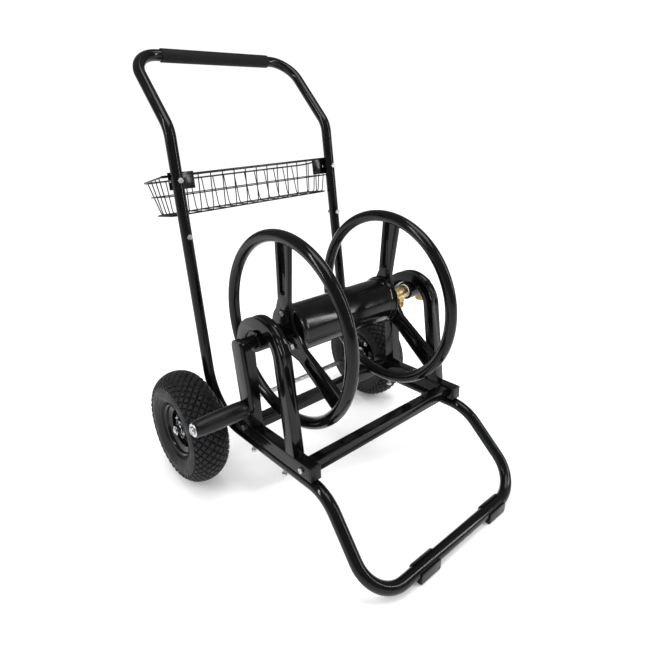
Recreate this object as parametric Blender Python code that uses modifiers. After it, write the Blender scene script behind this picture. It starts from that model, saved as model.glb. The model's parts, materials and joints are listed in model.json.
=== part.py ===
"""Garden hose reel cart: a bent-tube hand truck on two pneumatic wheels that carries a hand-cranked hose reel.

Metres, +Z up. X runs along the axle, with the crank at -X and the water inlet at +X. The handle is at +Y and
the front loop that the cart rests on is at -Y. Everything is laid out from a point on the floor straight below
the middle of the axle, and moved at the end so that the origin is on the floor below the middle of the cart.
"""

import math

import bmesh
import bpy
from mathutils import Matrix, Vector

# ---- Driving dimensions --------------------------------------------------------------------------
GAP = 0.0003  # between pieces that touch
RUNNING_CLEARANCE = 0.0007  # radial, between a turning piece and what it turns in
HOLE_CLEARANCE = 0.0005  # radial, round a bolt

TUBE_RADIUS = 0.0125
TUBE_WALL = 0.0018
TUBE_SIDES = 12
FRAME_HALF_WIDTH = 0.216  # mid-plane of the cart to the middle of a side tube

TYRE_RADIUS = 0.130
TYRE_WIDTH = 0.086
WHEEL_OFFSET = 0.071  # from the middle of a side tube out to the middle of its wheel
WHEEL_X = FRAME_HALF_WIDTH + WHEEL_OFFSET
RIM_RADIUS = 0.056
HUB_RADIUS = 0.019
HUB_HALF_LENGTH = 0.024
BUSH_RADIUS = 0.0120
AXLE_RADIUS = 0.0065

# Side view of the frame: a base tube that rises forwards, an upright that leans back, a sloping handle.
BASE_CORNER = Vector((0.0, 0.003, 0.138))  # where the base line and the upright line would meet
BASE_RISE = math.radians(2.9)
BASE_BEND_RADIUS = 0.120
UPRIGHT_LEAN = math.radians(9.0)
SPLICE_DISTANCE = 0.393  # along the upright from the base corner
SPIGOT_LENGTH = 0.048
SPLICE_BOLT_OFFSET = 0.022
UPRIGHT_LENGTH = 0.642
HANDLE_SLOPE = math.radians(46.2)
HANDLE_LENGTH = 0.218
HANDLE_BEND_RADIUS = 0.060
HANDLE_CORNER_RADIUS = 0.062
GRIP_SLEEVE_LENGTH = 0.292
GRIP_SLEEVE_WALL = 0.0024

BASE_JOINT_DISTANCE = 0.217  # where the upright tube ends and the front loop begins, under the rail
LOOP_BEND_DISTANCE = 0.401
LOOP_BEND_RADIUS = 0.090
LOOP_BAR_Y = -0.541
LOOP_BAR_Z = 0.021
LOOP_CORNER_RADIUS = 0.070
LOOP_FLARE = 0.014  # the loop is wider at its cross bar than at its bends
LOOP_HALF_WIDTH = FRAME_HALF_WIDTH + LOOP_FLARE
FOOT_LENGTH = 0.055
FOOT_X = (-0.095, 0.127)
FOOT_WALL = 0.0032

RAIL_WIDTH = 0.025
RAIL_HEIGHT = 0.030
RAIL_WALL = 0.0018
RAIL_START = 0.118
RAIL_END = 0.371
CAP_FLANGE = 0.003
CAP_PLUG = 0.012
CROSS_SECTION = 0.025
CROSS_DISTANCES = {"rear": 0.1487, "front": 0.347}
CROSS_HOLE_X = 0.125
CROSS_HOLE_RADIUS = 0.0042
RAIL_BOLT_DISTANCES = {"rear": 0.162, "front": 0.273}

REEL_AXIS_Y = -0.2114
REEL_AXIS_Z = 0.4028
REEL_CENTRE_X = -0.0214  # the reel sits nearer the crank, to leave room for the outlet elbow
DISC_HALF_SPACING = 0.1395
RING_RADIUS = 0.190  # to the middle of the ring's tube
SPIDER_THICKNESS = 0.010
SPIDER_FLOOR = 0.004  # the metal left behind a trough
ARM_HUB_WIDTH = 0.033
ARM_RIM_WIDTH = 0.042
ARM_LIP = 0.0088  # the flat edge on each side of a trough
DISC_TWISTS = {"crank_side": 0.0, "inlet_side": math.radians(5)}  # of the arms, from their bolts' lines
HUB_BOLT_CIRCLE = 0.039
HUB_PLATE_RADIUS = 0.045
DRUM_RADIUS = 0.049
DRUM_WALL = 0.002
DRUM_FLANGE = 0.005
DRUM_LIP = 0.0045  # how far a flange stands out from the drum
SHAFT_RADIUS = 0.013
SHAFT_WALL = 0.003

STAND_SECTION = 0.025
STAND_ARCH_RADIUS = 0.063  # to the middle of the section
STAND_TILT = math.radians(7.7)
STAND_SPREAD = math.radians(1.75)
STAND_ARCH_DROP = 0.0308  # arch centre below the reel axis
STAND_ARCH_BACK = -0.0023
HOUSING_RADIUS = 0.020
HOUSING_LENGTH = 0.040
LINER_WALL = 0.0028
LINER_LIP = 0.0022

CRANK_OFFSET = 0.054  # from the middle of a side tube out to the middle of the crank arm
CRANK_X = -(FRAME_HALF_WIDTH + CRANK_OFFSET)
CRANK_THICKNESS = 0.010
CRANK_WIDTH = 0.030
CRANK_LENGTH = 0.120
CRANK_REST = math.radians(10.5)  # the arm hangs this far forward of straight down
CRANK_GRIP_LENGTH = 0.106
CRANK_GRIP_RADIUS = 0.0175
CRANK_PIN_RADIUS = 0.004

OUTLET_INSET = 0.041  # from the middle of a side tube in to the middle of the outlet
OUTLET_X = FRAME_HALF_WIDTH - OUTLET_INSET
ELBOW_RADIUS = 0.0150
OUTLET_RADIUS = 0.0125
OUTLET_DROP = 0.035
JOURNAL_OFFSET = 0.036  # from the middle of a side tube out to the end of the journal
JOURNAL_END_X = FRAME_HALF_WIDTH + JOURNAL_OFFSET
INLET_LENGTH = 0.036
INLET_LEG_RADIUS = 0.0105
INLET_LEG_DROP = 0.026
WATERWAY_RADIUS = 0.0075
COUPLING_RADIUS = 0.0162
COUPLING_HEIGHT = 0.016

BASKET_DISTANCE = 0.554  # along the upright to the rim
BASKET_OVERHANG = 0.016  # past the middle of each side tube
BASKET_HALF_WIDTH = FRAME_HALF_WIDTH + BASKET_OVERHANG
BASKET_DEPTH = 0.109
BASKET_HEIGHT = 0.088
BASKET_END_TAPER = 0.014
BASKET_FRONT_TAPER = 0.010
BASKET_BACK_TAPER = 0.012
BASKET_CORNER_RADIUS = 0.034
BASKET_WALL = 0.0035
BASKET_BAR_RADIUS = 0.0028
BRACKET_WIDTH = 0.060
BRACKET_HEIGHT = 0.037
BRACKET_THICKNESS = 0.003
BRACKET_INSET = 0.016  # how far the bracket's middle stands inside the upright's middle

BOLT_RADIUS = 0.003
BOLT_HEAD_RADIUS = 0.0062
BOLT_HEAD_HEIGHT = 0.0042
NUT_RADIUS = 0.0062
NUT_HEIGHT = 0.0055
RAIL_BOLT_TAIL = 0.020  # below the base tube
LOCK_KNOB_RADIUS = 0.0045

# ---- Scene and materials -------------------------------------------------------------------------
for old in list(bpy.data.objects):
    bpy.data.objects.remove(old)
scene = bpy.context.scene
parts = bpy.data.collections.new("hose_reel_cart")
cutters = bpy.data.collections.new("cutters")
scene.collection.children.link(parts)
scene.collection.children.link(cutters)
cutters.hide_render = True


def make_material(name, colour, roughness, metallic):
    material = bpy.data.materials.new(name)
    material.use_nodes = True
    shader = material.node_tree.nodes["Principled BSDF"]
    shader.inputs["Base Color"].default_value = (*colour, 1.0)
    shader.inputs["Roughness"].default_value = roughness
    shader.inputs["Metallic"].default_value = metallic
    return material


ENAMEL = make_material("black_enamel", (0.010, 0.010, 0.012), 0.18, 0.0)
RUBBER = make_material("tyre_rubber", (0.020, 0.020, 0.021), 0.75, 0.0)
FOAM = make_material("grip_foam", (0.016, 0.016, 0.017), 0.85, 0.0)
PLASTIC = make_material("black_plastic", (0.014, 0.014, 0.015), 0.45, 0.0)
WHITE_PLASTIC = make_material("white_plastic", (0.75, 0.76, 0.78), 0.4, 0.0)
ZINC = make_material("zinc_plate", (0.72, 0.73, 0.75), 0.30, 1.0)
BRASS = make_material("brass", (0.78, 0.60, 0.28), 0.28, 1.0)

# ---- Places that several pieces share ------------------------------------------------------------
SIDES = {"crank_side": -1, "inlet_side": 1}
BASE_FORWARD = Vector((0.0, -math.cos(BASE_RISE), math.sin(BASE_RISE)))
BASE_UP = Vector((0.0, math.sin(BASE_RISE), math.cos(BASE_RISE)))
UPRIGHT_UP = Vector((0.0, math.sin(UPRIGHT_LEAN), math.cos(UPRIGHT_LEAN)))
UPRIGHT_BACK = Vector((0.0, math.cos(UPRIGHT_LEAN), -math.sin(UPRIGHT_LEAN)))
HANDLE_UP = Vector((0.0, math.sin(HANDLE_SLOPE), math.cos(HANDLE_SLOPE)))
KINK = BASE_CORNER + UPRIGHT_UP * UPRIGHT_LENGTH
HANDLE_BAR = KINK + HANDLE_UP * HANDLE_LENGTH
RAIL_BOTTOM = TUBE_RADIUS + GAP  # heights above the base tube's middle line
RAIL_TOP = RAIL_BOTTOM + RAIL_HEIGHT
RAIL_MIDDLE = RAIL_BOTTOM + RAIL_HEIGHT / 2
REEL_AXIS = Vector((0.0, REEL_AXIS_Y, REEL_AXIS_Z))
DISC_X = {side: REEL_CENTRE_X + sign * DISC_HALF_SPACING for side, sign in SIDES.items()}
ARM_ANGLES = tuple(math.radians(90 + 120 * i) for i in range(3))  # from +Y towards +Z
BORE_RADIUS = SHAFT_RADIUS + RUNNING_CLEARANCE
LINER_RADIUS = BORE_RADIUS + LINER_WALL
CRANK_DIRECTION = Vector((0.0, -math.sin(CRANK_REST), -math.cos(CRANK_REST)))
CRANK_PIN = REEL_AXIS + CRANK_DIRECTION * CRANK_LENGTH


def on_base(distance, height=0.0, x=0.0):
    """A point at this distance forward along the base tube and this height square above its middle line."""
    return BASE_CORNER + BASE_FORWARD * distance + BASE_UP * height + Vector((x, 0.0, 0.0))


def on_upright(distance, back=0.0, x=0.0):
    """A point this far up the upright's middle line and this far square behind it."""
    return BASE_CORNER + UPRIGHT_UP * distance + UPRIGHT_BACK * back + Vector((x, 0.0, 0.0))


def on_reel_axis(x):
    return REEL_AXIS + Vector((x, 0.0, 0.0))


# ---- Modelling helpers ---------------------------------------------------------------------------
def place(name, data, material, collection=parts, location=(0.0, 0.0, 0.0), rotation=(0.0, 0.0, 0.0)):
    """A new object in its collection. A cutter only shapes other pieces, so it isn't rendered."""
    obj = bpy.data.objects.new(name, data)
    collection.objects.link(obj)
    obj.location = location
    obj.rotation_euler = rotation
    if material is not None:
        data.materials.append(material)
    if collection is cutters:
        obj.hide_render = True
        obj.display_type = "WIRE"
    return obj


def to_mesh(obj):
    """The evaluated curve as a mesh object in the same place, with its caps welded on."""
    bpy.context.view_layer.update()
    evaluated = obj.evaluated_get(bpy.context.evaluated_depsgraph_get())
    mesh = bpy.data.meshes.new_from_object(evaluated)
    work = bmesh.new()
    work.from_mesh(mesh)
    bmesh.ops.remove_doubles(work, verts=work.verts, dist=0.00002)
    bmesh.ops.recalc_face_normals(work, faces=work.faces)
    work.to_mesh(mesh)
    work.free()
    name, matrix, collection = obj.name, obj.matrix_world.copy(), obj.users_collection[0]
    bpy.data.objects.remove(obj)
    made = place(name, mesh, None, collection)
    made.matrix_world = matrix
    return made


def smooth(obj, angle=40.0):
    obj.data.shade_smooth()
    obj.data.set_sharp_from_angle(angle=math.radians(angle))
    return obj


def boolean(obj, other, operation, solver="EXACT"):
    step = obj.modifiers.new(operation.lower() + "_" + other.name, "BOOLEAN")
    step.object = other
    step.operation = operation
    step.solver = solver
    return obj


def cylinder(name, start, end, radius, material=None, sides=20, collection=parts):
    """A straight round bar, or with six sides a hexagonal one, from one point to another."""
    start, end = Vector(start), Vector(end)
    mesh = bpy.data.meshes.new(name)
    work = bmesh.new()
    bmesh.ops.create_cone(
        work, cap_ends=True, segments=sides, radius1=radius, radius2=radius, depth=(end - start).length
    )
    work.to_mesh(mesh)
    work.free()
    turn = (end - start).to_track_quat("Z", "Y").to_euler()
    return smooth(place(name, mesh, material, collection, (start + end) / 2, turn))


def helper(name, start, end, radius, sides=20):
    return cylinder(name, start, end, radius, sides=sides, collection=cutters)


def hole(obj, start, end, radius, sides=16):
    return boolean(obj, helper("hole_in_" + obj.name, start, end, radius, sides), "DIFFERENCE")


def turned(name, profile, centre, material, steps=32, axis="X", closed=True, collection=parts):
    """A profile of (radius, distance along the axis) turned round it, running down the outer side first."""
    mesh = bpy.data.meshes.new(name)
    points = [(radius, 0.0, along) for radius, along in profile]
    count = len(points)
    edges = [(i, (i + 1) % count) for i in range(count if closed else count - 1)]
    mesh.from_pydata(points, edges, [])
    turn = {"X": (0.0, math.pi / 2, 0.0), "Z": (0.0, 0.0, 0.0)}[axis]
    obj = place(name, mesh, material, collection, centre, turn)
    screw = obj.modifiers.new("turn", "SCREW")
    screw.steps = steps
    screw.render_steps = steps
    screw.use_merge_vertices = True
    screw.merge_threshold = 0.00001
    screw.use_smooth_shade = True
    return obj


def ring(name, centre, outer, inner, start, end, material, steps=24, axis="X", collection=parts):
    """A plain collar between two distances along its axis."""
    profile = [(inner, end), (outer, end), (outer, start), (inner, start)]
    return turned(name, profile, centre, material, steps, axis, collection=collection)


def bent(points, radii, segments=4):
    """The corner points with each inner corner turned into an arc of its own radius."""
    path = [Vector(points[0])]
    for before, corner, after, radius in zip(points, points[1:], points[2:], radii):
        corner = Vector(corner)
        back = (Vector(before) - corner).normalized()
        ahead = (Vector(after) - corner).normalized()
        half = back.angle(ahead) / 2
        start = corner + back * (radius / math.tan(half))
        centre = corner + (back + ahead).normalized() * (radius / math.sin(half))
        end = corner + ahead * (radius / math.tan(half))
        arm_a, arm_b = start - centre, end - centre
        sweep = arm_a.angle(arm_b)
        for i in range(segments + 1):
            turn = sweep * i / segments
            path.append(
                centre
                + arm_a * (math.sin(sweep - turn) / math.sin(sweep))
                + arm_b * (math.sin(turn) / math.sin(sweep))
            )
    path.append(Vector(points[-1]))
    return path


def round_tube(name, path, material, radius=TUBE_RADIUS, wall=TUBE_WALL, spigot=0.0):
    """A hollow round tube along a path. A spigot is a last length made thin enough to enter a tube."""
    curve = bpy.data.curves.new(name, "CURVE")
    curve.dimensions = "3D"
    curve.bevel_depth = radius
    curve.bevel_resolution = (TUBE_SIDES - 4) // 2
    widths = [1.0] * len(path)
    if spigot:
        along = (path[-1] - path[-2]).normalized()
        path = path + [path[-1] + along * 0.0004, path[-1] + along * spigot]
        flat_to_flat = (radius - wall) * math.cos(math.pi / TUBE_SIDES)  # narrowest reach of the faceted bore
        widths += [(flat_to_flat - GAP) / radius] * 2
    spline = curve.splines.new("POLY")
    spline.points.add(len(path) - 1)
    for point, place_at, width in zip(spline.points, path, widths):
        point.co = (*place_at, 1.0)
        point.radius = width
    obj = place(name, curve, material)
    shell = obj.modifiers.new("wall", "SOLIDIFY")
    shell.thickness = wall
    shell.offset = -1.0
    return smooth(to_mesh(obj))


def outline_plate(name, outlines, thickness, x, material, collection=parts, edge=0.0):
    """Closed (y, z) outlines, the first one the rim and the rest holes, as a plate square to X."""
    curve = bpy.data.curves.new(name, "CURVE")
    curve.dimensions = "2D"
    curve.fill_mode = "BOTH"
    curve.extrude = thickness / 2
    for outline in outlines:
        spline = curve.splines.new("POLY")
        spline.points.add(len(outline) - 1)
        for point, (y, z) in zip(spline.points, outline):
            point.co = (y, z, 0.0, 1.0)
        spline.use_cyclic_u = True
    obj = place(name, curve, material, collection, (x, 0.0, 0.0), (math.pi / 2, 0.0, math.pi / 2))
    obj = to_mesh(obj)
    if edge:
        bevel = obj.modifiers.new("edge", "BEVEL")
        bevel.width = edge
        bevel.segments = 1
        bevel.limit_method = "ANGLE"
        bevel.angle_limit = math.radians(50)
    return smooth(obj)


def arc(centre_y, centre_z, radius, start, end, segments):
    """Points (y, z) of an arc, its angles from +Y towards +Z."""
    steps = (start + (end - start) * i / segments for i in range(segments + 1))
    return [(centre_y + radius * math.cos(a), centre_z + radius * math.sin(a)) for a in steps]


def bolt(name, head, direction, grip, nut_at=None, tail=0.0, radius=BOLT_RADIUS, head_radius=BOLT_HEAD_RADIUS):
    """A hexagon bolt, from where its head bears along its shank, with a nut if it has one."""
    head, direction = Vector(head), Vector(direction).normalized()
    shank = cylinder(name, head - direction * 0.001, head + direction * (grip + tail), radius, ZINC, 12)
    cap = helper("head_of_" + name, head - direction * BOLT_HEAD_HEIGHT, head, head_radius, 6)
    boolean(shank, cap, "UNION")
    if nut_at is not None:
        nut = helper(
            "nut_of_" + name, head + direction * nut_at, head + direction * (nut_at + NUT_HEIGHT), NUT_RADIUS, 6
        )
        boolean(shank, nut, "UNION")
    return shank


# ---- Frame: base tubes, uprights, handle ---------------------------------------------------------
for side, sign in SIDES.items():
    x = Vector((sign * FRAME_HALF_WIDTH, 0.0, 0.0))
    corners = [on_base(BASE_JOINT_DISTANCE) + x, BASE_CORNER + x, on_upright(SPLICE_DISTANCE) + x]
    upright = round_tube(side + "_upright", bent(corners, [BASE_BEND_RADIUS], 6), ENAMEL, spigot=SPIGOT_LENGTH)
    splice = on_upright(SPLICE_DISTANCE + SPLICE_BOLT_OFFSET) + x
    reach = UPRIGHT_BACK * TUBE_RADIUS * 2
    hole(upright, splice - reach, splice + reach, BOLT_RADIUS + HOLE_CLEARANCE, 12)
    rear_bolt = on_base(RAIL_BOLT_DISTANCES["rear"]) + x
    drop = BASE_UP * TUBE_RADIUS * 2
    hole(upright, rear_bolt - drop, rear_bolt + drop, BOLT_RADIUS + HOLE_CLEARANCE, 12)

left = Vector((-FRAME_HALF_WIDTH, 0.0, 0.0))
right = Vector((FRAME_HALF_WIDTH, 0.0, 0.0))
handle_foot = on_upright(SPLICE_DISTANCE + GAP)
handle_corners = [
    handle_foot + left,
    KINK + left,
    HANDLE_BAR + left,
    HANDLE_BAR + right,
    KINK + right,
    handle_foot + right,
]
handle_radii = [HANDLE_BEND_RADIUS, HANDLE_CORNER_RADIUS, HANDLE_CORNER_RADIUS, HANDLE_BEND_RADIUS]
handle = round_tube("upper_handle", bent(handle_corners, handle_radii), ENAMEL)
for sign in SIDES.values():
    x = Vector((sign * FRAME_HALF_WIDTH, 0.0, 0.0))
    for distance in (SPLICE_DISTANCE + SPLICE_BOLT_OFFSET, BASKET_DISTANCE - BRACKET_HEIGHT / 2):
        middle = on_upright(distance) + x
        reach = UPRIGHT_BACK * TUBE_RADIUS * 2
        hole(handle, middle - reach, middle + reach, BOLT_RADIUS + HOLE_CLEARANCE, 12)

ring(
    "handle_grip_sleeve",
    HANDLE_BAR,
    TUBE_RADIUS + GAP + GRIP_SLEEVE_WALL,
    TUBE_RADIUS + GAP,
    -GRIP_SLEEVE_LENGTH / 2,
    GRIP_SLEEVE_LENGTH / 2,
    FOAM,
)

for side, sign in SIDES.items():
    x = sign * FRAME_HALF_WIDTH
    splice_head = on_upright(SPLICE_DISTANCE + SPLICE_BOLT_OFFSET, -TUBE_RADIUS - GAP, x)
    bolt(side + "_splice_bolt", splice_head, UPRIGHT_BACK, 0.026, nut_at=2 * (TUBE_RADIUS + GAP), tail=0.009)

# ---- Front loop and its feet ---------------------------------------------------------------------
loop_start = on_base(BASE_JOINT_DISTANCE + GAP)
loop_bend = on_base(LOOP_BEND_DISTANCE)
loop_bar = Vector((0.0, LOOP_BAR_Y, LOOP_BAR_Z))
loop_corner = Vector((LOOP_HALF_WIDTH, 0.0, 0.0))
loop_corners = [
    loop_start + left,
    loop_bend + left,
    loop_bar - loop_corner,
    loop_bar + loop_corner,
    loop_bend + right,
    loop_start + right,
]
loop_radii = [LOOP_BEND_RADIUS, LOOP_CORNER_RADIUS, LOOP_CORNER_RADIUS, LOOP_BEND_RADIUS]
loop = round_tube("front_loop", bent(loop_corners, loop_radii), ENAMEL)
for sign in SIDES.values():
    front_bolt = on_base(RAIL_BOLT_DISTANCES["front"], x=sign * FRAME_HALF_WIDTH)
    drop = BASE_UP * TUBE_RADIUS * 2
    hole(loop, front_bolt - drop, front_bolt + drop, BOLT_RADIUS + HOLE_CLEARANCE, 12)

foot_inner = TUBE_RADIUS + GAP
foot_outer = foot_inner + FOOT_WALL
foot_rim = (
    arc(LOOP_BAR_Y, LOOP_BAR_Z, foot_outer, math.radians(65), 0.0, 4)
    + [(LOOP_BAR_Y + foot_outer, FOOT_WALL), (LOOP_BAR_Y + foot_outer - FOOT_WALL, 0.0)]
    + [(LOOP_BAR_Y - foot_outer + FOOT_WALL, 0.0), (LOOP_BAR_Y - foot_outer, FOOT_WALL)]
    + arc(LOOP_BAR_Y, LOOP_BAR_Z, foot_outer, math.radians(-180), math.radians(-200), 1)
    + arc(LOOP_BAR_Y, LOOP_BAR_Z, foot_inner, math.radians(-200), math.radians(65), 12)
)
for side, foot_x in zip(SIDES, FOOT_X):
    outline_plate(side + "_foot", [foot_rim], FOOT_LENGTH, foot_x, PLASTIC)


# ---- Rails, end caps and cross members -----------------------------------------------------------
def box_outline(start, end, low, high):
    """A rectangle on the slanted base: distances forward, and heights above the base tube's middle line."""
    corners = [on_base(start, low), on_base(end, low), on_base(end, high), on_base(start, high)]
    return [(corner.y, corner.z) for corner in corners]


def box_between(name, start, end, low, high, x_low, x_high, material, collection=parts, edge=0.0):
    outline = box_outline(start, end, low, high)
    return outline_plate(name, [outline], x_high - x_low, (x_low + x_high) / 2, material, collection, edge)


bolt_hole = BOLT_RADIUS + HOLE_CLEARANCE
for side, sign in SIDES.items():
    x = sign * FRAME_HALF_WIDTH
    half = RAIL_WIDTH / 2
    rail = box_between(
        side + "_rail", RAIL_START, RAIL_END, RAIL_BOTTOM, RAIL_TOP, x - half, x + half, ENAMEL, edge=0.0012
    )
    inside = box_between(
        "inside_of_" + side + "_rail",
        RAIL_START - 0.01,
        RAIL_END + 0.01,
        RAIL_BOTTOM + RAIL_WALL,
        RAIL_TOP - RAIL_WALL,
        x - half + RAIL_WALL,
        x + half - RAIL_WALL,
        None,
        cutters,
    )
    boolean(rail, inside, "DIFFERENCE")
    for end, distance in RAIL_BOLT_DISTANCES.items():
        low, high = on_base(distance, 0.0, x), on_base(distance, RAIL_MIDDLE, x)
        hole(rail, low, high, bolt_hole, 12)
        head_height = RAIL_BOTTOM + RAIL_WALL + GAP  # it bears on the rail's floor, inside the rail
        head = on_base(distance, head_height, x)
        depth = head_height + TUBE_RADIUS + RAIL_BOLT_TAIL
        name = side + "_" + end + "_rail_bolt"
        bolt(name, head, -BASE_UP, depth, nut_at=depth - NUT_HEIGHT - 0.002)
    for end, distance in CROSS_DISTANCES.items():
        outer = on_base(distance, RAIL_MIDDLE, x + sign * (half + 0.01))
        inner = on_base(distance, RAIL_MIDDLE, x - sign * (half + 0.01))
        hole(rail, inner, outer, bolt_hole, 12)
        head = on_base(distance, RAIL_MIDDLE, x + sign * (half + GAP))
        bolt(side + "_" + end + "_cross_bolt", head, (-sign, 0.0, 0.0), RAIL_WIDTH + 0.018)
    cap = box_between(
        side + "_rail_cap",
        RAIL_END + GAP,
        RAIL_END + GAP + CAP_FLANGE,
        RAIL_BOTTOM,
        RAIL_TOP,
        x - half,
        x + half,
        PLASTIC,
        edge=0.001,
    )
    plug = box_between(
        "plug_of_" + side + "_rail_cap",
        RAIL_END - CAP_PLUG,
        RAIL_END + CAP_FLANGE / 2,
        RAIL_BOTTOM + RAIL_WALL + GAP,
        RAIL_TOP - RAIL_WALL - GAP,
        x - half + RAIL_WALL + GAP,
        x + half - RAIL_WALL - GAP,
        None,
        cutters,
    )
    boolean(cap, plug, "UNION")

cross_half_length = FRAME_HALF_WIDTH - RAIL_WIDTH / 2 - GAP
for end, distance in CROSS_DISTANCES.items():
    half = CROSS_SECTION / 2
    member = box_between(
        end + "_cross_member",
        distance - half,
        distance + half,
        RAIL_MIDDLE - half,
        RAIL_MIDDLE + half,
        -cross_half_length,
        cross_half_length,
        ENAMEL,
        edge=0.0012,
    )
    for sign in SIDES.values():
        mouth = on_base(distance, RAIL_MIDDLE, sign * (cross_half_length + 0.01))
        bottom = on_base(distance, RAIL_MIDDLE, sign * (cross_half_length - 0.024))
        hole(member, bottom, mouth, bolt_hole, 12)
        if end == "front":
            low = on_base(distance, RAIL_MIDDLE - CROSS_SECTION, sign * CROSS_HOLE_X)
            high = on_base(distance, RAIL_MIDDLE + CROSS_SECTION, sign * CROSS_HOLE_X)
            hole(member, low, high, CROSS_HOLE_RADIUS, 16)

# ---- Stands that carry the reel ------------------------------------------------------------------
arch_y = REEL_AXIS_Y + STAND_ARCH_BACK
arch_z = REEL_AXIS_Z - STAND_ARCH_DROP
rail_top_point = on_base(0.0, RAIL_TOP + GAP)
rail_slope = -math.tan(BASE_RISE)  # height gained per metre along +Y


def stand_foot(angle, radius):
    """Where a straight leg tangent to the arch at this angle and radius meets the top of the rail."""
    y = arch_y + radius * math.cos(angle)
    z = arch_z + radius * math.sin(angle)
    down = Vector((math.sin(angle), -math.cos(angle)))
    if down.y > 0:
        down = -down
    gap = z - (rail_top_point.z + rail_slope * (y - rail_top_point.y))
    travel = gap / (rail_slope * down.x - down.y)
    return (y + down.x * travel, z + down.y * travel)


rear_angle = -STAND_TILT + STAND_SPREAD
front_angle = math.pi - STAND_TILT - STAND_SPREAD
arch_inner = STAND_ARCH_RADIUS - STAND_SECTION / 2
arch_outer = STAND_ARCH_RADIUS + STAND_SECTION / 2
stand_rim = (
    [stand_foot(rear_angle, arch_outer)]
    + arc(arch_y, arch_z, arch_outer, rear_angle, front_angle, 16)
    + [stand_foot(front_angle, arch_outer), stand_foot(front_angle, arch_inner)]
    + arc(arch_y, arch_z, arch_inner, front_angle, rear_angle, 12)
    + [stand_foot(rear_angle, arch_inner)]
)
for side, sign in SIDES.items():
    x = sign * FRAME_HALF_WIDTH
    stand = outline_plate(side + "_stand", [stand_rim], STAND_SECTION, x, ENAMEL, edge=0.002)
    reach = Vector((HOUSING_LENGTH / 2, 0.0, 0.0))
    middle = REEL_AXIS + Vector((x, 0.0, 0.0))
    housing = helper("housing_of_" + side, middle - reach, middle + reach, HOUSING_RADIUS + 0.001, 28)
    boolean(stand, housing, "UNION", "MANIFOLD")
    hole(stand, middle - reach * 1.5, middle + reach * 1.5, LINER_RADIUS + GAP, 24)
    liner_end = HOUSING_LENGTH / 2 + GAP
    lip = LINER_RADIUS + LINER_LIP
    turned(
        side + "_bearing_liner",
        [
            (BORE_RADIUS, liner_end + LINER_LIP),
            (lip, liner_end + LINER_LIP),
            (lip, liner_end),
            (LINER_RADIUS, liner_end),
            (LINER_RADIUS, -liner_end),
            (BORE_RADIUS, -liner_end),
        ],
        middle,
        PLASTIC,
        24,
    )

# A black screw with a knob stands out of the front shoulder of the inlet-side arch.
lock_angle = math.radians(128)
lock_seat = Vector(
    (
        FRAME_HALF_WIDTH,
        arch_y + (arch_outer + GAP) * math.cos(lock_angle),
        arch_z + (arch_outer + GAP) * math.sin(lock_angle),
    )
)
lock_out = Vector((0.0, math.cos(lock_angle), math.sin(lock_angle)))
inlet_stand = bpy.data.objects["inlet_side_stand"]
hole(inlet_stand, lock_seat + lock_out * 0.004, lock_seat - lock_out * 0.014, 0.0025 + HOLE_CLEARANCE, 12)
lock_tip = lock_seat - lock_out * 0.012
lock = cylinder("inlet_side_stand_screw", lock_tip, lock_seat + lock_out * 0.003, 0.0025, PLASTIC, 12)
lock_knob = helper("knob_of_stand_screw", lock_seat, lock_seat + lock_out * 0.006, LOCK_KNOB_RADIUS, 12)
boolean(lock, lock_knob, "UNION")

# ---- Axle, brackets and wheels -------------------------------------------------------------------
AXLE = Vector((0.0, 0.0, TYRE_RADIUS))
inward = (BASE_FORWARD + UPRIGHT_UP).normalized()
half_bend = BASE_FORWARD.angle(UPRIGHT_UP) / 2
bend_centre = BASE_CORNER + inward * (BASE_BEND_RADIUS / math.sin(half_bend))
to_axle = AXLE - bend_centre
axle_angle = math.atan2(to_axle.z, to_axle.y)
weld_radius = BASE_BEND_RADIUS + TUBE_RADIUS + GAP
boss_radius = 0.015
bracket_rim = arc(bend_centre.y, bend_centre.z, weld_radius, axle_angle + 0.24, axle_angle - 0.24, 8) + arc(
    AXLE.y, AXLE.z, boss_radius, axle_angle - math.pi / 2, axle_angle + math.pi / 2, 10
)
bracket_thickness = 0.006
for side, sign in SIDES.items():
    bracket = outline_plate(
        side + "_axle_bracket", [bracket_rim], bracket_thickness, sign * FRAME_HALF_WIDTH, ENAMEL
    )
    boss_start = AXLE + Vector((sign * FRAME_HALF_WIDTH, 0.0, 0.0))
    boss_end = AXLE + Vector((sign * (WHEEL_X - HUB_HALF_LENGTH - RUNNING_CLEARANCE), 0.0, 0.0))
    boolean(bracket, helper("boss_of_" + side, boss_start, boss_end, AXLE_RADIUS + 0.0045), "UNION")
    over = Vector((sign * 0.01, 0.0, 0.0))
    hole(bracket, boss_start - over, boss_end + over, AXLE_RADIUS + GAP, 24)

axle_end = WHEEL_X + HUB_HALF_LENGTH + 0.012
axle_reach = Vector((axle_end, 0.0, 0.0))
cylinder("axle_rod", AXLE - axle_reach, AXLE + axle_reach, AXLE_RADIUS, ZINC)
for side, sign in SIDES.items():
    nut_start = WHEEL_X + HUB_HALF_LENGTH + RUNNING_CLEARANCE
    low = AXLE + Vector((sign * nut_start, 0.0, 0.0))
    high = AXLE + Vector((sign * (nut_start + 0.008), 0.0, 0.0))
    nut = cylinder(side + "_axle_nut", low, high, 0.0115, ZINC, 6)
    hole(nut, low - Vector((sign * 0.01, 0, 0)), high + Vector((sign * 0.01, 0, 0)), AXLE_RADIUS + GAP, 24)


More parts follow.
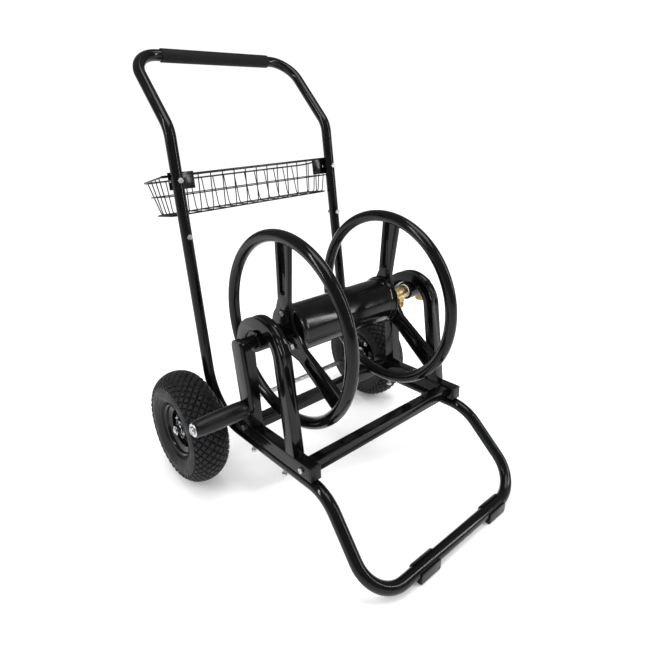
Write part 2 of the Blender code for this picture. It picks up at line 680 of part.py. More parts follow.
def tyre_profile():
    """Half the tyre's section mirrored: crown, shoulder, side wall, bead, and the hollow inside it."""
    half = TYRE_WIDTH / 2
    outer = [
        (TYRE_RADIUS, half * 0.30),
        (TYRE_RADIUS - 0.0045, half * 0.66),
        (TYRE_RADIUS - 0.016, half * 0.92),
        (TYRE_RADIUS - 0.034, half),
        (RIM_RADIUS + 0.0160, half * 0.88),
        (RIM_RADIUS + 0.0008, half * 0.62),
    ]
    inner = [
        (RIM_RADIUS + 0.0008, half * 0.42),
        (TYRE_RADIUS - 0.040, half * 0.78),
        (TYRE_RADIUS - 0.014, half * 0.50),
        (TYRE_RADIUS - 0.011, 0.0),
    ]
    up = outer[::-1] + [(r, -a) for r, a in outer]
    down = [(r, -a) for r, a in inner] + inner[-2::-1]
    return up + down


def rim_profile():
    """A pressed rim with a flange each side, a drop centre, a web and a hub tube."""
    half = TYRE_WIDTH / 2 * 0.62
    wall = 0.0022
    seat = RIM_RADIUS + 0.0004
    well = RIM_RADIUS - 0.012
    hub = HUB_HALF_LENGTH
    lip = RIM_RADIUS + 0.0045
    outer = [
        (BUSH_RADIUS + GAP, hub),
        (HUB_RADIUS, hub),
        (HUB_RADIUS, 0.004),
        (well - wall, 0.004),
        (well - wall, half * 0.52),
        (seat - wall, half * 0.66),
        (seat - wall, half + 0.0042),
        (lip, half + 0.0042),
        (seat, half + 0.0008),
        (seat, half * 0.62),
        (well, half * 0.46),
    ]
    return outer + [(r, -a) for r, a in reversed(outer)]


for side, sign in SIDES.items():
    centre = AXLE + Vector((sign * WHEEL_X, 0.0, 0.0))
    turned(side + "_tyre", tyre_profile(), centre, RUBBER, 28)
    turned(side + "_wheel_rim", rim_profile(), centre, ENAMEL, 20)
    bore = AXLE_RADIUS + RUNNING_CLEARANCE
    ring(side + "_wheel_bush", centre, BUSH_RADIUS, bore, -HUB_HALF_LENGTH, HUB_HALF_LENGTH, ZINC, 24)

# ---- Reel: discs, drum and shaft -----------------------------------------------------------------
def spider_outline(twist):
    """Three arms that widen towards the ring, joined by a hub plate with straight shoulders."""
    outline = []
    for angle in (angle + twist for angle in ARM_ANGLES):
        along = Vector((math.cos(angle), math.sin(angle)))
        across = Vector((math.sin(angle), -math.cos(angle)))
        near, far = (0.066, ARM_HUB_WIDTH), (RING_RADIUS, ARM_RIM_WIDTH)
        for distance, width in (near, far, (far[0], -far[1]), (near[0], -near[1])):
            point = REEL_AXIS.yz + along * distance + across * width / 2
            outline.append((point.x, point.y))
        shoulder = angle + math.radians(60)
        outline += arc(REEL_AXIS_Y, REEL_AXIS_Z, HUB_PLATE_RADIUS - 0.006, shoulder - 0.14, shoulder + 0.14, 1)
    return outline


def pocket_outline(angle):
    """The pressed trough down the middle of one arm."""
    along = Vector((math.cos(angle), math.sin(angle)))
    across = Vector((math.sin(angle), -math.cos(angle)))
    near, far = 0.082, RING_RADIUS - TUBE_RADIUS - 0.001
    near_half = ARM_HUB_WIDTH / 2 - ARM_LIP
    far_half = ARM_RIM_WIDTH / 2 - ARM_LIP
    middle = REEL_AXIS.yz + along * near
    points = []
    for turn in (0.0, 0.8, 1.57, 2.34, 3.14):
        points.append(middle + (across * math.cos(turn) - along * math.sin(turn) * 0.6) * near_half)
    points += [REEL_AXIS.yz + along * far - across * far_half, REEL_AXIS.yz + along * far + across * far_half]
    return [(p.x, p.y) for p in points]


for side, x in DISC_X.items():
    spider = outline_plate(side + "_disc", [spider_outline(DISC_TWISTS[side])], SPIDER_THICKNESS, x, ENAMEL)
    for i, angle in enumerate(ARM_ANGLES):
        depth = SPIDER_THICKNESS - SPIDER_FLOOR + 0.002
        pocket_x = x + SPIDER_THICKNESS / 2 - SPIDER_FLOOR - depth / 2  # both discs' troughs face the crank
        pocket_name = "pocket_%d_of_%s" % (i, side)
        trough = pocket_outline(angle + DISC_TWISTS[side])
        pocket = outline_plate(pocket_name, [trough], depth, pocket_x, None, cutters)
        boolean(spider, pocket, "DIFFERENCE")
    reach = Vector((0.03, 0.0, 0.0))
    middle = REEL_AXIS + Vector((x, 0.0, 0.0))
    hole(spider, middle - reach, middle + reach, SHAFT_RADIUS + GAP, 24)
    for angle in ARM_ANGLES:
        offset = Vector((0.0, math.cos(angle), math.sin(angle))) * HUB_BOLT_CIRCLE
        hole(spider, middle + offset - reach, middle + offset + reach, bolt_hole, 12)
    bpy.ops.mesh.primitive_torus_add(
        major_radius=RING_RADIUS,
        minor_radius=TUBE_RADIUS,
        major_segments=36,
        minor_segments=8,
        location=REEL_AXIS + Vector((x, 0.0, 0.0)),
        rotation=(0.0, math.pi / 2, 0.0),
    )
    torus = bpy.context.object
    torus.name = "ring_of_" + side
    for holder in list(torus.users_collection):
        holder.objects.unlink(torus)
    cutters.objects.link(torus)
    torus.hide_render = True
    torus.display_type = "WIRE"
    boolean(spider, torus, "UNION")

drum_half = DISC_HALF_SPACING - SPIDER_THICKNESS / 2 - GAP
drum_bore = SHAFT_RADIUS + GAP
lip = DRUM_RADIUS + DRUM_LIP
drum_half_profile = [(drum_bore, drum_half), (lip, drum_half), (lip, drum_half - DRUM_FLANGE)]
drum_half_profile += [(DRUM_RADIUS, drum_half - DRUM_FLANGE)]
inside = [(DRUM_RADIUS - DRUM_WALL, -drum_half + DRUM_FLANGE), (drum_bore, -drum_half + DRUM_FLANGE)]
drum_profile = drum_half_profile + [(r, -a) for r, a in reversed(drum_half_profile)]
drum_profile += [(r, a) for r, a in reversed(inside)] + [(r, -a) for r, a in inside]
drum_centre = REEL_AXIS + Vector((REEL_CENTRE_X, 0.0, 0.0))
drum = turned("drum", drum_profile, drum_centre, ENAMEL, 24)
for side, sign in SIDES.items():
    face = drum_centre.x + sign * drum_half
    for angle in ARM_ANGLES:
        offset = Vector((0.0, math.cos(angle), math.sin(angle))) * HUB_BOLT_CIRCLE
        middle = Vector((face, 0.0, 0.0)) + Vector((0.0, *REEL_AXIS.yz)) + offset
        reach = Vector((0.012, 0.0, 0.0))
        hole(drum, middle - reach, middle + reach, bolt_hole, 12)

# Three long bolts draw the two discs together on the drum.
for i, angle in enumerate(ARM_ANGLES):
    offset = Vector((0.0, math.cos(angle), math.sin(angle))) * HUB_BOLT_CIRCLE
    head = REEL_AXIS + offset + Vector((DISC_X["crank_side"] - SPIDER_THICKNESS / 2 - GAP, 0.0, 0.0))
    clamped = 2 * DISC_HALF_SPACING + SPIDER_THICKNESS + 2 * GAP
    bolt("reel_tie_bolt_%d" % (i + 1), head, (1.0, 0.0, 0.0), clamped, nut_at=clamped, tail=NUT_HEIGHT + 0.001)

shaft_start = CRANK_X + CRANK_THICKNESS / 2 + GAP
shaft_end = OUTLET_X - 0.022
ring("reel_shaft", REEL_AXIS, SHAFT_RADIUS, SHAFT_RADIUS - SHAFT_WALL, shaft_start, shaft_end, ENAMEL, 24)

# ---- Crank ---------------------------------------------------------------------------------------
crank_angle = math.atan2(CRANK_DIRECTION.z, CRANK_DIRECTION.y)
crank_half = CRANK_WIDTH / 2
half_turn = math.pi / 2
crank_rim = arc(REEL_AXIS_Y, REEL_AXIS_Z, crank_half, crank_angle + half_turn, crank_angle + 3 * half_turn, 12)
crank_rim += arc(CRANK_PIN.y, CRANK_PIN.z, crank_half, crank_angle - half_turn, crank_angle + half_turn, 12)
crank = outline_plate("crank_arm", [crank_rim], CRANK_THICKNESS, CRANK_X, ENAMEL, edge=0.0012)
pin_reach = Vector((0.02, 0.0, 0.0))
pin_at_arm = CRANK_PIN + Vector((CRANK_X, 0.0, 0.0))
hole(crank, pin_at_arm - pin_reach, pin_at_arm + pin_reach, CRANK_PIN_RADIUS + GAP, 16)

grip_near = CRANK_X - CRANK_THICKNESS / 2 - RUNNING_CLEARANCE
grip_bore = CRANK_PIN_RADIUS + RUNNING_CLEARANCE
grip_shape = ((0.0, 0.86), (0.03, 0.95), (0.35, 1.0), (0.75, 0.95), (0.96, 0.86), (1.0, 0.76))
grip_profile = [(grip_bore, 0.0)]
grip_profile += [(CRANK_GRIP_RADIUS * width, -CRANK_GRIP_LENGTH * share) for share, width in grip_shape]
grip_profile += [(grip_bore, -CRANK_GRIP_LENGTH)]
grip_origin = CRANK_PIN + Vector((grip_near, 0.0, 0.0))
grip = turned("crank_grip", grip_profile, grip_origin, PLASTIC, 20)
grip.rotation_euler = (0.0, math.pi / 2, 0.0)
washer_near = grip_near - CRANK_GRIP_LENGTH - RUNNING_CLEARANCE
washer_origin = CRANK_PIN + Vector((washer_near, 0.0, 0.0))
ring("crank_grip_washer", washer_origin, 0.0125, CRANK_PIN_RADIUS + GAP, -0.0018, 0.0, ZINC, 20)
pin_head = washer_origin + Vector((-0.0018 - GAP, 0.0, 0.0))
pin_length = CRANK_X + CRANK_THICKNESS / 2 - pin_head.x
bolt(
    "crank_grip_bolt",
    pin_head,
    (1.0, 0.0, 0.0),
    pin_length + 0.001,
    nut_at=pin_length + GAP,
    tail=NUT_HEIGHT,
    radius=CRANK_PIN_RADIUS,
    head_radius=0.0075,
)

# ---- Water way: outlet elbow, journal, swivel inlet ----------------------------------------------
outlet_top = on_reel_axis(OUTLET_X)
outlet_end = outlet_top - Vector((0.0, 0.0, OUTLET_DROP))
elbow_start_x = shaft_end + GAP
elbow_end_x = FRAME_HALF_WIDTH - HOUSING_LENGTH / 2 - 0.0045
elbow = cylinder("outlet_elbow", on_reel_axis(elbow_start_x), on_reel_axis(elbow_end_x), ELBOW_RADIUS, BRASS)
boolean(elbow, helper("leg_of_outlet_elbow", outlet_top, outlet_end, OUTLET_RADIUS), "UNION")
journal_start = on_reel_axis(elbow_end_x - 0.004)
journal_end = on_reel_axis(JOURNAL_END_X)
boolean(elbow, helper("journal_of_outlet_elbow", journal_start, journal_end, SHAFT_RADIUS), "UNION")
hole(elbow, outlet_top, outlet_end - Vector((0, 0, 0.01)), WATERWAY_RADIUS, 16)
hole(elbow, outlet_top - Vector((0.004, 0, 0)), journal_end + Vector((0.01, 0, 0)), WATERWAY_RADIUS - 0.001, 16)

washer_x = elbow_end_x + GAP
washer_outer, washer_inner = SHAFT_RADIUS + 0.003, SHAFT_RADIUS + GAP
ring("thrust_washer", REEL_AXIS, washer_outer, washer_inner, washer_x, washer_x + 0.002, WHITE_PLASTIC, 28)

inlet_start_x = FRAME_HALF_WIDTH + HOUSING_LENGTH / 2 + LINER_LIP + 3 * GAP
inlet_end_x = inlet_start_x + INLET_LENGTH
inlet_mid_x = inlet_end_x - INLET_LEG_RADIUS - 0.003
inlet_radius = SHAFT_RADIUS + 0.0042
inlet = cylinder("inlet_swivel", on_reel_axis(inlet_start_x), on_reel_axis(inlet_end_x), inlet_radius, BRASS)
inlet_top = on_reel_axis(inlet_mid_x)
inlet_low = inlet_top - Vector((0.0, 0.0, INLET_LEG_DROP))
boolean(inlet, helper("leg_of_inlet", inlet_top, inlet_low, INLET_LEG_RADIUS), "UNION")
collar_high = inlet_low + Vector((0.0, 0.0, 0.0025))
boolean(inlet, helper("collar_of_inlet", collar_high, inlet_low, INLET_LEG_RADIUS + 0.0018), "UNION")
socket_end = on_reel_axis(JOURNAL_END_X + 0.001)
hole(inlet, on_reel_axis(inlet_start_x - 0.01), socket_end, BORE_RADIUS, 24)
hole(inlet, socket_end - Vector((0.002, 0, 0)), inlet_top, WATERWAY_RADIUS - 0.001, 16)
hole(inlet, inlet_top, inlet_low - Vector((0, 0, 0.01)), WATERWAY_RADIUS - 0.001, 16)

coupling_lip = 0.003
neck = INLET_LEG_RADIUS + RUNNING_CLEARANCE
coupling_top = collar_high.z + coupling_lip + RUNNING_CLEARANCE
thread_radius = COUPLING_RADIUS - 0.0027
coupling_floor = collar_high.z + RUNNING_CLEARANCE
bottom = coupling_top - COUPLING_HEIGHT
coupling_profile = [
    (neck, coupling_top),
    (COUPLING_RADIUS - 0.001, coupling_top),
    (COUPLING_RADIUS, coupling_top - 0.001),
    (COUPLING_RADIUS, bottom + 0.001),
    (COUPLING_RADIUS - 0.001, bottom),
    (thread_radius, bottom),
    (thread_radius, coupling_floor),
    (neck, coupling_floor),
]
turned("inlet_coupling_nut", coupling_profile, Vector((inlet_mid_x, REEL_AXIS_Y, 0.0)), BRASS, 24, "Z")

# ---- Basket and its brackets ---------------------------------------------------------------------
bracket_front = TUBE_RADIUS + GAP
basket_frame = bpy.data.objects.new("basket_frame", None)
parts.objects.link(basket_frame)
basket_frame.location = on_upright(BASKET_DISTANCE, bracket_front + BRACKET_THICKNESS + GAP)
basket_frame.rotation_euler = (-UPRIGHT_LEAN, 0.0, 0.0)
for side, sign in SIDES.items():
    bracket_x = sign * (FRAME_HALF_WIDTH - BRACKET_INSET)
    middle = on_upright(BASKET_DISTANCE - BRACKET_HEIGHT / 2, bracket_front + BRACKET_THICKNESS / 2, bracket_x)
    bpy.ops.mesh.primitive_cube_add(size=1.0, location=middle, rotation=(-UPRIGHT_LEAN, 0.0, 0.0))
    plate = bpy.context.object
    plate.name = side + "_basket_bracket"
    plate.data.transform(Matrix.Diagonal((BRACKET_WIDTH, BRACKET_THICKNESS, BRACKET_HEIGHT, 1.0)))
    plate.data.materials.append(ENAMEL)
    for holder in list(plate.users_collection):
        holder.objects.unlink(plate)
    parts.objects.link(plate)
    seat = on_upright(BASKET_DISTANCE - BRACKET_HEIGHT / 2, 0.0, sign * FRAME_HALF_WIDTH)
    hole(plate, seat, seat + UPRIGHT_BACK * 0.03, bolt_hole, 12)
    head = seat - UPRIGHT_BACK * (TUBE_RADIUS + GAP)
    thickness = 2 * (TUBE_RADIUS + GAP) + BRACKET_THICKNESS + GAP
    bolt(side + "_basket_bolt", head, UPRIGHT_BACK, thickness, nut_at=thickness, tail=NUT_HEIGHT + 0.002)


def basket_ring(taper, z):
    """A level outline of the basket, square in front and rounded behind, less a share of the taper."""
    front = BASKET_BAR_RADIUS + BASKET_FRONT_TAPER * taper
    back = BASKET_BAR_RADIUS + BASKET_DEPTH - BASKET_BACK_TAPER * taper
    half = BASKET_HALF_WIDTH - BASKET_END_TAPER * taper
    radius = BASKET_CORNER_RADIUS
    points = [(-half, front), (half, front)]
    points += arc(half - radius, back - radius, radius, 0.0, math.pi / 2, 5)
    points += arc(-half + radius, back - radius, radius, math.pi / 2, math.pi, 5)
    return [(x, y, z) for x, y in points]


basket_mesh = bpy.data.meshes.new("wire_basket")
work = bmesh.new()
rim = [work.verts.new(p) for p in basket_ring(0.0, -BASKET_BAR_RADIUS / 2)]
floor = [work.verts.new(p) for p in basket_ring(1.0, -BASKET_HEIGHT)]
for i in range(len(rim)):
    j = (i + 1) % len(rim)
    work.faces.new((rim[i], rim[j], floor[j], floor[i]))
work.faces.new(floor)
bmesh.ops.recalc_face_normals(work, faces=work.faces)
work.to_mesh(basket_mesh)
work.free()
basket = place("wire_basket", basket_mesh, ENAMEL)
basket.parent = basket_frame
shell = basket.modifiers.new("wall", "SOLIDIFY")
shell.thickness = BASKET_WALL
shell.offset = 0.0
shell.use_even_offset = True
bar = cylinder(
    "bar_of_basket",
    (-BASKET_HALF_WIDTH - 0.004, BASKET_BAR_RADIUS, -BASKET_BAR_RADIUS),
    (BASKET_HALF_WIDTH + 0.004, BASKET_BAR_RADIUS, -BASKET_BAR_RADIUS),
    BASKET_BAR_RADIUS,
    sides=12,
    collection=cutters,
)
bar.parent = basket_frame
boolean(basket, bar, "UNION")
for sign in SIDES.values():
    nut_face = (sign * FRAME_HALF_WIDTH, -0.01, -BRACKET_HEIGHT / 2)
    nut_end = (sign * FRAME_HALF_WIDTH, NUT_HEIGHT + 0.004, -BRACKET_HEIGHT / 2)
    hole(basket, nut_face, nut_end, NUT_RADIUS + 0.0015, 16)
    cutters.objects[-1].parent = basket_frame

# ---- Origin --------------------------------------------------------------------------------------
lowest = Vector((pin_head.x - BOLT_HEAD_HEIGHT, LOOP_BAR_Y - foot_outer, 0.0))
highest = Vector((WHEEL_X + TYRE_WIDTH / 2, HANDLE_BAR.y + TUBE_RADIUS + GAP + GRIP_SLEEVE_WALL, 0.0))
for obj in list(parts.objects) + list(cutters.objects):
    if obj.parent is None:
        obj.location -= (lowest + highest) / 2
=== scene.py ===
# %% [markdown]
# # A garden hose reel cart
# The cart is a hand truck made of bent steel tube, painted black, on two air-filled wheels. It carries a reel
# with a crank, a wire basket and brass water fittings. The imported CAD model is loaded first. It fixes every
# place and size, so what is modelled here only has to look right where the CAD says it is.

import bmesh
import bpy
import json
from math import atan2, cos, pi, radians, sin, tan
from mathutils import Matrix, Vector


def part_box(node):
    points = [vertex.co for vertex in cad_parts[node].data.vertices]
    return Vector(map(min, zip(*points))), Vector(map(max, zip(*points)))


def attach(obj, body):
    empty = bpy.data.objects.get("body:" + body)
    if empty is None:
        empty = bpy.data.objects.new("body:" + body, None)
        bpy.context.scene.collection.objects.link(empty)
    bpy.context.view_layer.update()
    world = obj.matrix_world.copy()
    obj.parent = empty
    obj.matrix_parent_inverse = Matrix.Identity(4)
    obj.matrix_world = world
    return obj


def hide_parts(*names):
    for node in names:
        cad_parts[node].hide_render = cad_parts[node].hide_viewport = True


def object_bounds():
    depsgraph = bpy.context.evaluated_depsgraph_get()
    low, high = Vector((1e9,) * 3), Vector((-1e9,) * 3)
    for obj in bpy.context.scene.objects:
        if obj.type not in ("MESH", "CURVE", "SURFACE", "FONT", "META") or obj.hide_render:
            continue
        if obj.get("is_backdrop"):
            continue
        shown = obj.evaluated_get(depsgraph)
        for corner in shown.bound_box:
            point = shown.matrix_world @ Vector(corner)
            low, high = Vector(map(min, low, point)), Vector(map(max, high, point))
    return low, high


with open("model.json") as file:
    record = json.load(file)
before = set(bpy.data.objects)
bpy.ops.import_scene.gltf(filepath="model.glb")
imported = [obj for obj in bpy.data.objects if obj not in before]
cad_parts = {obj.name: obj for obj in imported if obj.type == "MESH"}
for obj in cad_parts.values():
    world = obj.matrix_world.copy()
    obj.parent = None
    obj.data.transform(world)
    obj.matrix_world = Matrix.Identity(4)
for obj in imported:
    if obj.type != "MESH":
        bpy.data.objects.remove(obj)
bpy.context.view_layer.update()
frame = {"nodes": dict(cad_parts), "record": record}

# %% [markdown]
# ## The bench
# The cart was laid out from the floor below the middle of its axle. The axle's own box gives that point in
# the loaded model, so the same numbers can be used here. The base tubes and the uprights are both slanted,
# and two small functions give points along each of them.

# %% Layout
axle_low, axle_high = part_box("axle_rod")
BENCH = Vector(((axle_low.x + axle_high.x) / 2, (axle_low.y + axle_high.y) / 2, 0.0))
GAP = 0.0003
TUBE_RADIUS = 0.0125
HALF_WIDTH = 0.216
BASE_RISE = radians(2.9)
UPRIGHT_LEAN = radians(9.0)
HANDLE_SLOPE = radians(46.2)
BASE_FORWARD = Vector((0, -cos(BASE_RISE), sin(BASE_RISE)))
BASE_UP = Vector((0, sin(BASE_RISE), cos(BASE_RISE)))
UPRIGHT_UP = Vector((0, sin(UPRIGHT_LEAN), cos(UPRIGHT_LEAN)))
UPRIGHT_BACK = Vector((0, cos(UPRIGHT_LEAN), -sin(UPRIGHT_LEAN)))
HANDLE_UP = Vector((0, sin(HANDLE_SLOPE), cos(HANDLE_SLOPE)))
SIDES = {"crank_side": -1, "inlet_side": 1}
WHEEL_X, HUB_HALF, SIDE_PLAY = 0.287, 0.024, 0.0007
CRANK_X, CRANK_THICKNESS = -0.270, 0.010
DISC_SPACING, BOLT_CIRCLE = 0.1395, 0.039  # drum's middle to a disc, and shaft to the tie bolts


def at(x, y, z):
    return BENCH + Vector((x, y, z))


def sideways(x):
    return Vector((x, 0, 0))


BASE_CORNER = at(0, 0.003, 0.138)
KINK = BASE_CORNER + UPRIGHT_UP * 0.642
HANDLE_BAR = KINK + HANDLE_UP * 0.218
AXLE = at(0, 0, 0.130)
REEL = at(0, -0.2114, 0.4028)
REEL_MIDDLE_X = -0.0214


def on_base(distance, height=0.0, x=0.0):
    return BASE_CORNER + BASE_FORWARD * distance + BASE_UP * height + sideways(x)


def on_upright(distance, back=0.0, x=0.0):
    return BASE_CORNER + UPRIGHT_UP * distance + UPRIGHT_BACK * back + sideways(x)


print("axle at", [round(v, 4) for v in AXLE], "reel at", [round(v, 4) for v in REEL])

# %% [markdown]
# ## Camera, floor and light
# The camera stands 0.83 m above the floor, in front of the crank side, with a fairly wide lens. A white
# studio is a pale floor with soft lamps above it. Black gloss paint shows only what it mirrors, so two long
# narrow lamps draw the bright streaks along the tubes, and mirrored rays see a darker room than the one that
# lights the floor.

# %% Camera
camera_data = bpy.data.cameras.new("camera")
camera = bpy.data.objects.new("camera", camera_data)
bpy.context.scene.collection.objects.link(camera)
camera.location = at(-0.713, -0.964, 0.828)
yaw, pitch, roll = radians(-41.25), radians(-20.74), radians(0.23)
camera.rotation_euler = (
    Matrix.Rotation(yaw, 3, "Z") @ Matrix.Rotation(pi / 2 + pitch, 3, "X") @ Matrix.Rotation(roll, 3, "Z")
).to_euler()
camera_data.sensor_width = 36
camera_data.lens = 36 * 517.2 / 645
camera_data.shift_x = -(326.8 - 322.5) / 645
camera_data.shift_y = (296.5 - 322.5) / 645
camera_data.clip_start = 0.01
bpy.context.scene.camera = camera
print("lens", round(camera_data.lens, 2), "mm")

# %% Floor, room and lamps
bpy.ops.mesh.primitive_plane_add(size=80, location=(0, 0, 0))
floor = bpy.context.object
floor.name = "floor"
floor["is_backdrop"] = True
world = bpy.data.worlds.new("room")
bpy.context.scene.world = world
world.use_nodes = True
room = world.node_tree
ROOM_LIGHT, MIRRORED_ROOM = 1.05, 0.30
ray = room.nodes.new("ShaderNodeLightPath")
dimmer = room.nodes.new("ShaderNodeMapRange")
dimmer.inputs["To Min"].default_value = ROOM_LIGHT
dimmer.inputs["To Max"].default_value = MIRRORED_ROOM
room.links.new(ray.outputs["Is Glossy Ray"], dimmer.inputs["Value"])
room.nodes["Background"].inputs["Color"].default_value = (1, 1, 1, 1)
room.links.new(dimmer.outputs["Result"], room.nodes["Background"].inputs["Strength"])
bpy.context.scene.view_settings.view_transform = "Standard"


def lamp(name, place, aim, size_x, size_y, power):
    data = bpy.data.lights.new(name, "AREA")
    data.shape = "RECTANGLE"
    data.size = size_x
    data.size_y = size_y
    data.energy = power
    obj = bpy.data.objects.new(name, data)
    bpy.context.scene.collection.objects.link(obj)
    obj.location = place
    obj.rotation_euler = (Vector(aim) - Vector(place)).to_track_quat("-Z", "Y").to_euler()
    return obj


lamp("overhead_soft_box", (0.2, -0.4, 3.0), (0, 0, 0.4), 1.6, 1.6, 40)
lamp("left_strip", (-2.4, 0.6, 1.9), (0, 0, 0.4), 0.16, 2.2, 34)
lamp("right_strip", (1.7, -2.1, 1.8), (0, 0, 0.4), 0.16, 2.2, 30)

# %% [markdown]
# ## Helpers for finishes
# Every finish is a Principled shader fed by procedural patterns in real millimetres. Colours are written as
# the hex values a designer would quote, and one function turns them into the linear values that the shader
# works in.

# %% Colour and node helpers
def colour(hex_value):
    """An sRGB hex colour as linear red, green, blue and alpha."""
    channels = [int(hex_value[i : i + 2], 16) / 255 for i in (1, 3, 5)]
    linear = [c / 12.92 if c <= 0.04045 else ((c + 0.055) / 1.055) ** 2.4 for c in channels]
    return (*linear, 1.0)


def add(tree, kind, settings=None, links=None):
    """One node, with its settings and its input links: {input: value or (node, output)}."""
    node = tree.nodes.new(kind)
    for key, value in (settings or {}).items():
        setattr(node, key, value)
    for key, value in (links or {}).items():
        if isinstance(value, tuple) and isinstance(value[0], bpy.types.Node):
            tree.links.new(value[0].outputs[value[1]], node.inputs[key])
        else:
            node.inputs[key].default_value = value
    return node


def start_finish(name, base, roughness, metallic=0.0, **sockets):
    material = bpy.data.materials.new(name)
    material.use_nodes = True
    tree = material.node_tree
    shader = tree.nodes["Principled BSDF"]
    shader.inputs["Base Color"].default_value = colour(base)
    shader.inputs["Roughness"].default_value = roughness
    shader.inputs["Metallic"].default_value = metallic
    for key, value in sockets.items():
        shader.inputs[key.replace("_", " ")].default_value = value
    return material, tree, shader, (add(tree, "ShaderNodeTexCoord"), "Object")


def weather(tree, shader, pattern, dark, light, smooth=None, rough=None):
    """Lets one pattern vary a finish's colour and, if asked, its roughness."""
    ramp = add(tree, "ShaderNodeValToRGB", None, {"Fac": pattern})
    for stop, position, hex_value in zip(ramp.color_ramp.elements, PATTERN_RANGE, (dark, light)):
        stop.position = position
        stop.color = colour(hex_value)
    tree.links.new(ramp.outputs["Color"], shader.inputs["Base Color"])
    if smooth is None:
        return
    limits = {"From Min": PATTERN_RANGE[0], "From Max": PATTERN_RANGE[1], "To Min": smooth, "To Max": rough}
    spread = add(tree, "ShaderNodeMapRange", {"clamp": True}, {"Value": pattern, **limits})
    tree.links.new(spread.outputs["Result"], shader.inputs["Roughness"])


PATTERN_RANGE = (0.3, 0.7)  # the part of a noise pattern's span over which a finish changes
NOISE = "ShaderNodeTexNoise"
MM = 1000.0  # a pattern of scale MM / size repeats about every size millimetres

# %% [markdown]
# ## Black powder coat
# The tubes, discs and stands are steel with a black polyester powder coat, baked until it flows into a glossy
# skin. It keeps a faint orange peel, some 2 mm across, and a little dust dulls it in patches.

# %% Powder coat
powder_coat, tree, shader, place = start_finish("black_powder_coat", "#060607", 0.16, Specular_IOR_Level=0.22)
peel = add(tree, NOISE, None, {"Vector": place, "Scale": MM / 2.2, "Detail": 2.0})
dust = add(tree, NOISE, None, {"Vector": place, "Scale": MM / 45, "Detail": 6.0})
weather(tree, shader, (dust, "Fac"), "#050506", "#0a0a0b", 0.09, 0.2)
bump = add(tree, "ShaderNodeBump", None, {"Height": (peel, "Fac"), "Strength": 0.05, "Distance": 0.0004})
tree.links.new(bump.outputs["Normal"], shader.inputs["Normal"])

# %% [markdown]
# ## Tyre rubber and grip foam
# Tyre rubber is filled with carbon black. Moulding leaves it satin, and its high spots scuff to grey. The
# handle's sleeve is foam rubber, duller still, with pores of about a millimetre.

# %% Rubber finishes
tyre_rubber, tree, shader, place = start_finish("tyre_rubber", "#101012", 0.55, Specular_IOR_Level=0.22)
scuff = add(tree, NOISE, None, {"Vector": place, "Scale": MM / 18, "Detail": 8.0})
grit = add(tree, NOISE, None, {"Vector": place, "Scale": MM / 1.2, "Detail": 3.0})
weather(tree, shader, (scuff, "Fac"), "#0c0c0e", "#17171a", 0.42, 0.66)
bump = add(tree, "ShaderNodeBump", None, {"Height": (grit, "Fac"), "Strength": 0.25, "Distance": 0.0004})
tree.links.new(bump.outputs["Normal"], shader.inputs["Normal"])

grip_foam, tree, shader, place = start_finish("foam_rubber", "#0f0f11", 0.8, Specular_IOR_Level=0.15)
pores = add(
    tree, "ShaderNodeTexVoronoi", None, {"Vector": place, "Scale": MM / 1.6, "Randomness": 1.0}
)
wear = add(tree, NOISE, None, {"Vector": place, "Scale": MM / 25, "Detail": 5.0})
weather(tree, shader, (wear, "Fac"), "#0c0c0e", "#151517", 0.55, 0.8)
bump = add(tree, "ShaderNodeBump", None, {"Height": (pores, "Distance"), "Strength": 0.3, "Distance": 0.0005})
tree.links.new(bump.outputs["Normal"], shader.inputs["Normal"])

# %% [markdown]
# ## Plastics
# The feet, tube plugs, bearing liners and crank grip are moulded black polypropylene with a fine spark-eroded
# grain. The thrust washer is off-white nylon, with faint cloudy patches some 6 mm across.

# %% Plastic finishes
black_plastic, tree, shader, place = start_finish(
    "moulded_black_plastic", "#0b0b0d", 0.4, Specular_IOR_Level=0.22
)
grain = add(tree, NOISE, None, {"Vector": place, "Scale": MM / 0.9, "Detail": 4.0})
patch = add(tree, NOISE, None, {"Vector": place, "Scale": MM / 30, "Detail": 4.0})
weather(tree, shader, (patch, "Fac"), "#09090b", "#101012", 0.3, 0.46)
bump = add(tree, "ShaderNodeBump", None, {"Height": (grain, "Fac"), "Strength": 0.12, "Distance": 0.0003})
tree.links.new(bump.outputs["Normal"], shader.inputs["Normal"])

white_nylon, tree, shader, place = start_finish("white_nylon", "#dcdfe2", 0.38)
haze = add(tree, NOISE, None, {"Vector": place, "Scale": MM / 6, "Detail": 4.0})
weather(tree, shader, (haze, "Fac"), "#cfd2d6", "#e6e8ea", 0.3, 0.45)

# %% [markdown]
# ## Zinc plate and brass
# The bolts, nuts and axle are steel with bright zinc, which dulls in faint clouds. The water fittings are
# turned brass of a pale yellow, with fine tool rings and a thin tarnish that browns it in patches.

# %% Metal finishes
zinc_plate, tree, shader, place = start_finish("bright_zinc_plate", "#c4c6c8", 0.28, 1.0)
cloud = add(tree, NOISE, None, {"Vector": place, "Scale": MM / 7, "Detail": 6.0})
weather(tree, shader, (cloud, "Fac"), "#989c9f", "#c3c6c8", 0.24, 0.4)
bump = add(tree, "ShaderNodeBump", None, {"Height": (cloud, "Fac"), "Strength": 0.03, "Distance": 0.0003})
tree.links.new(bump.outputs["Normal"], shader.inputs["Normal"])

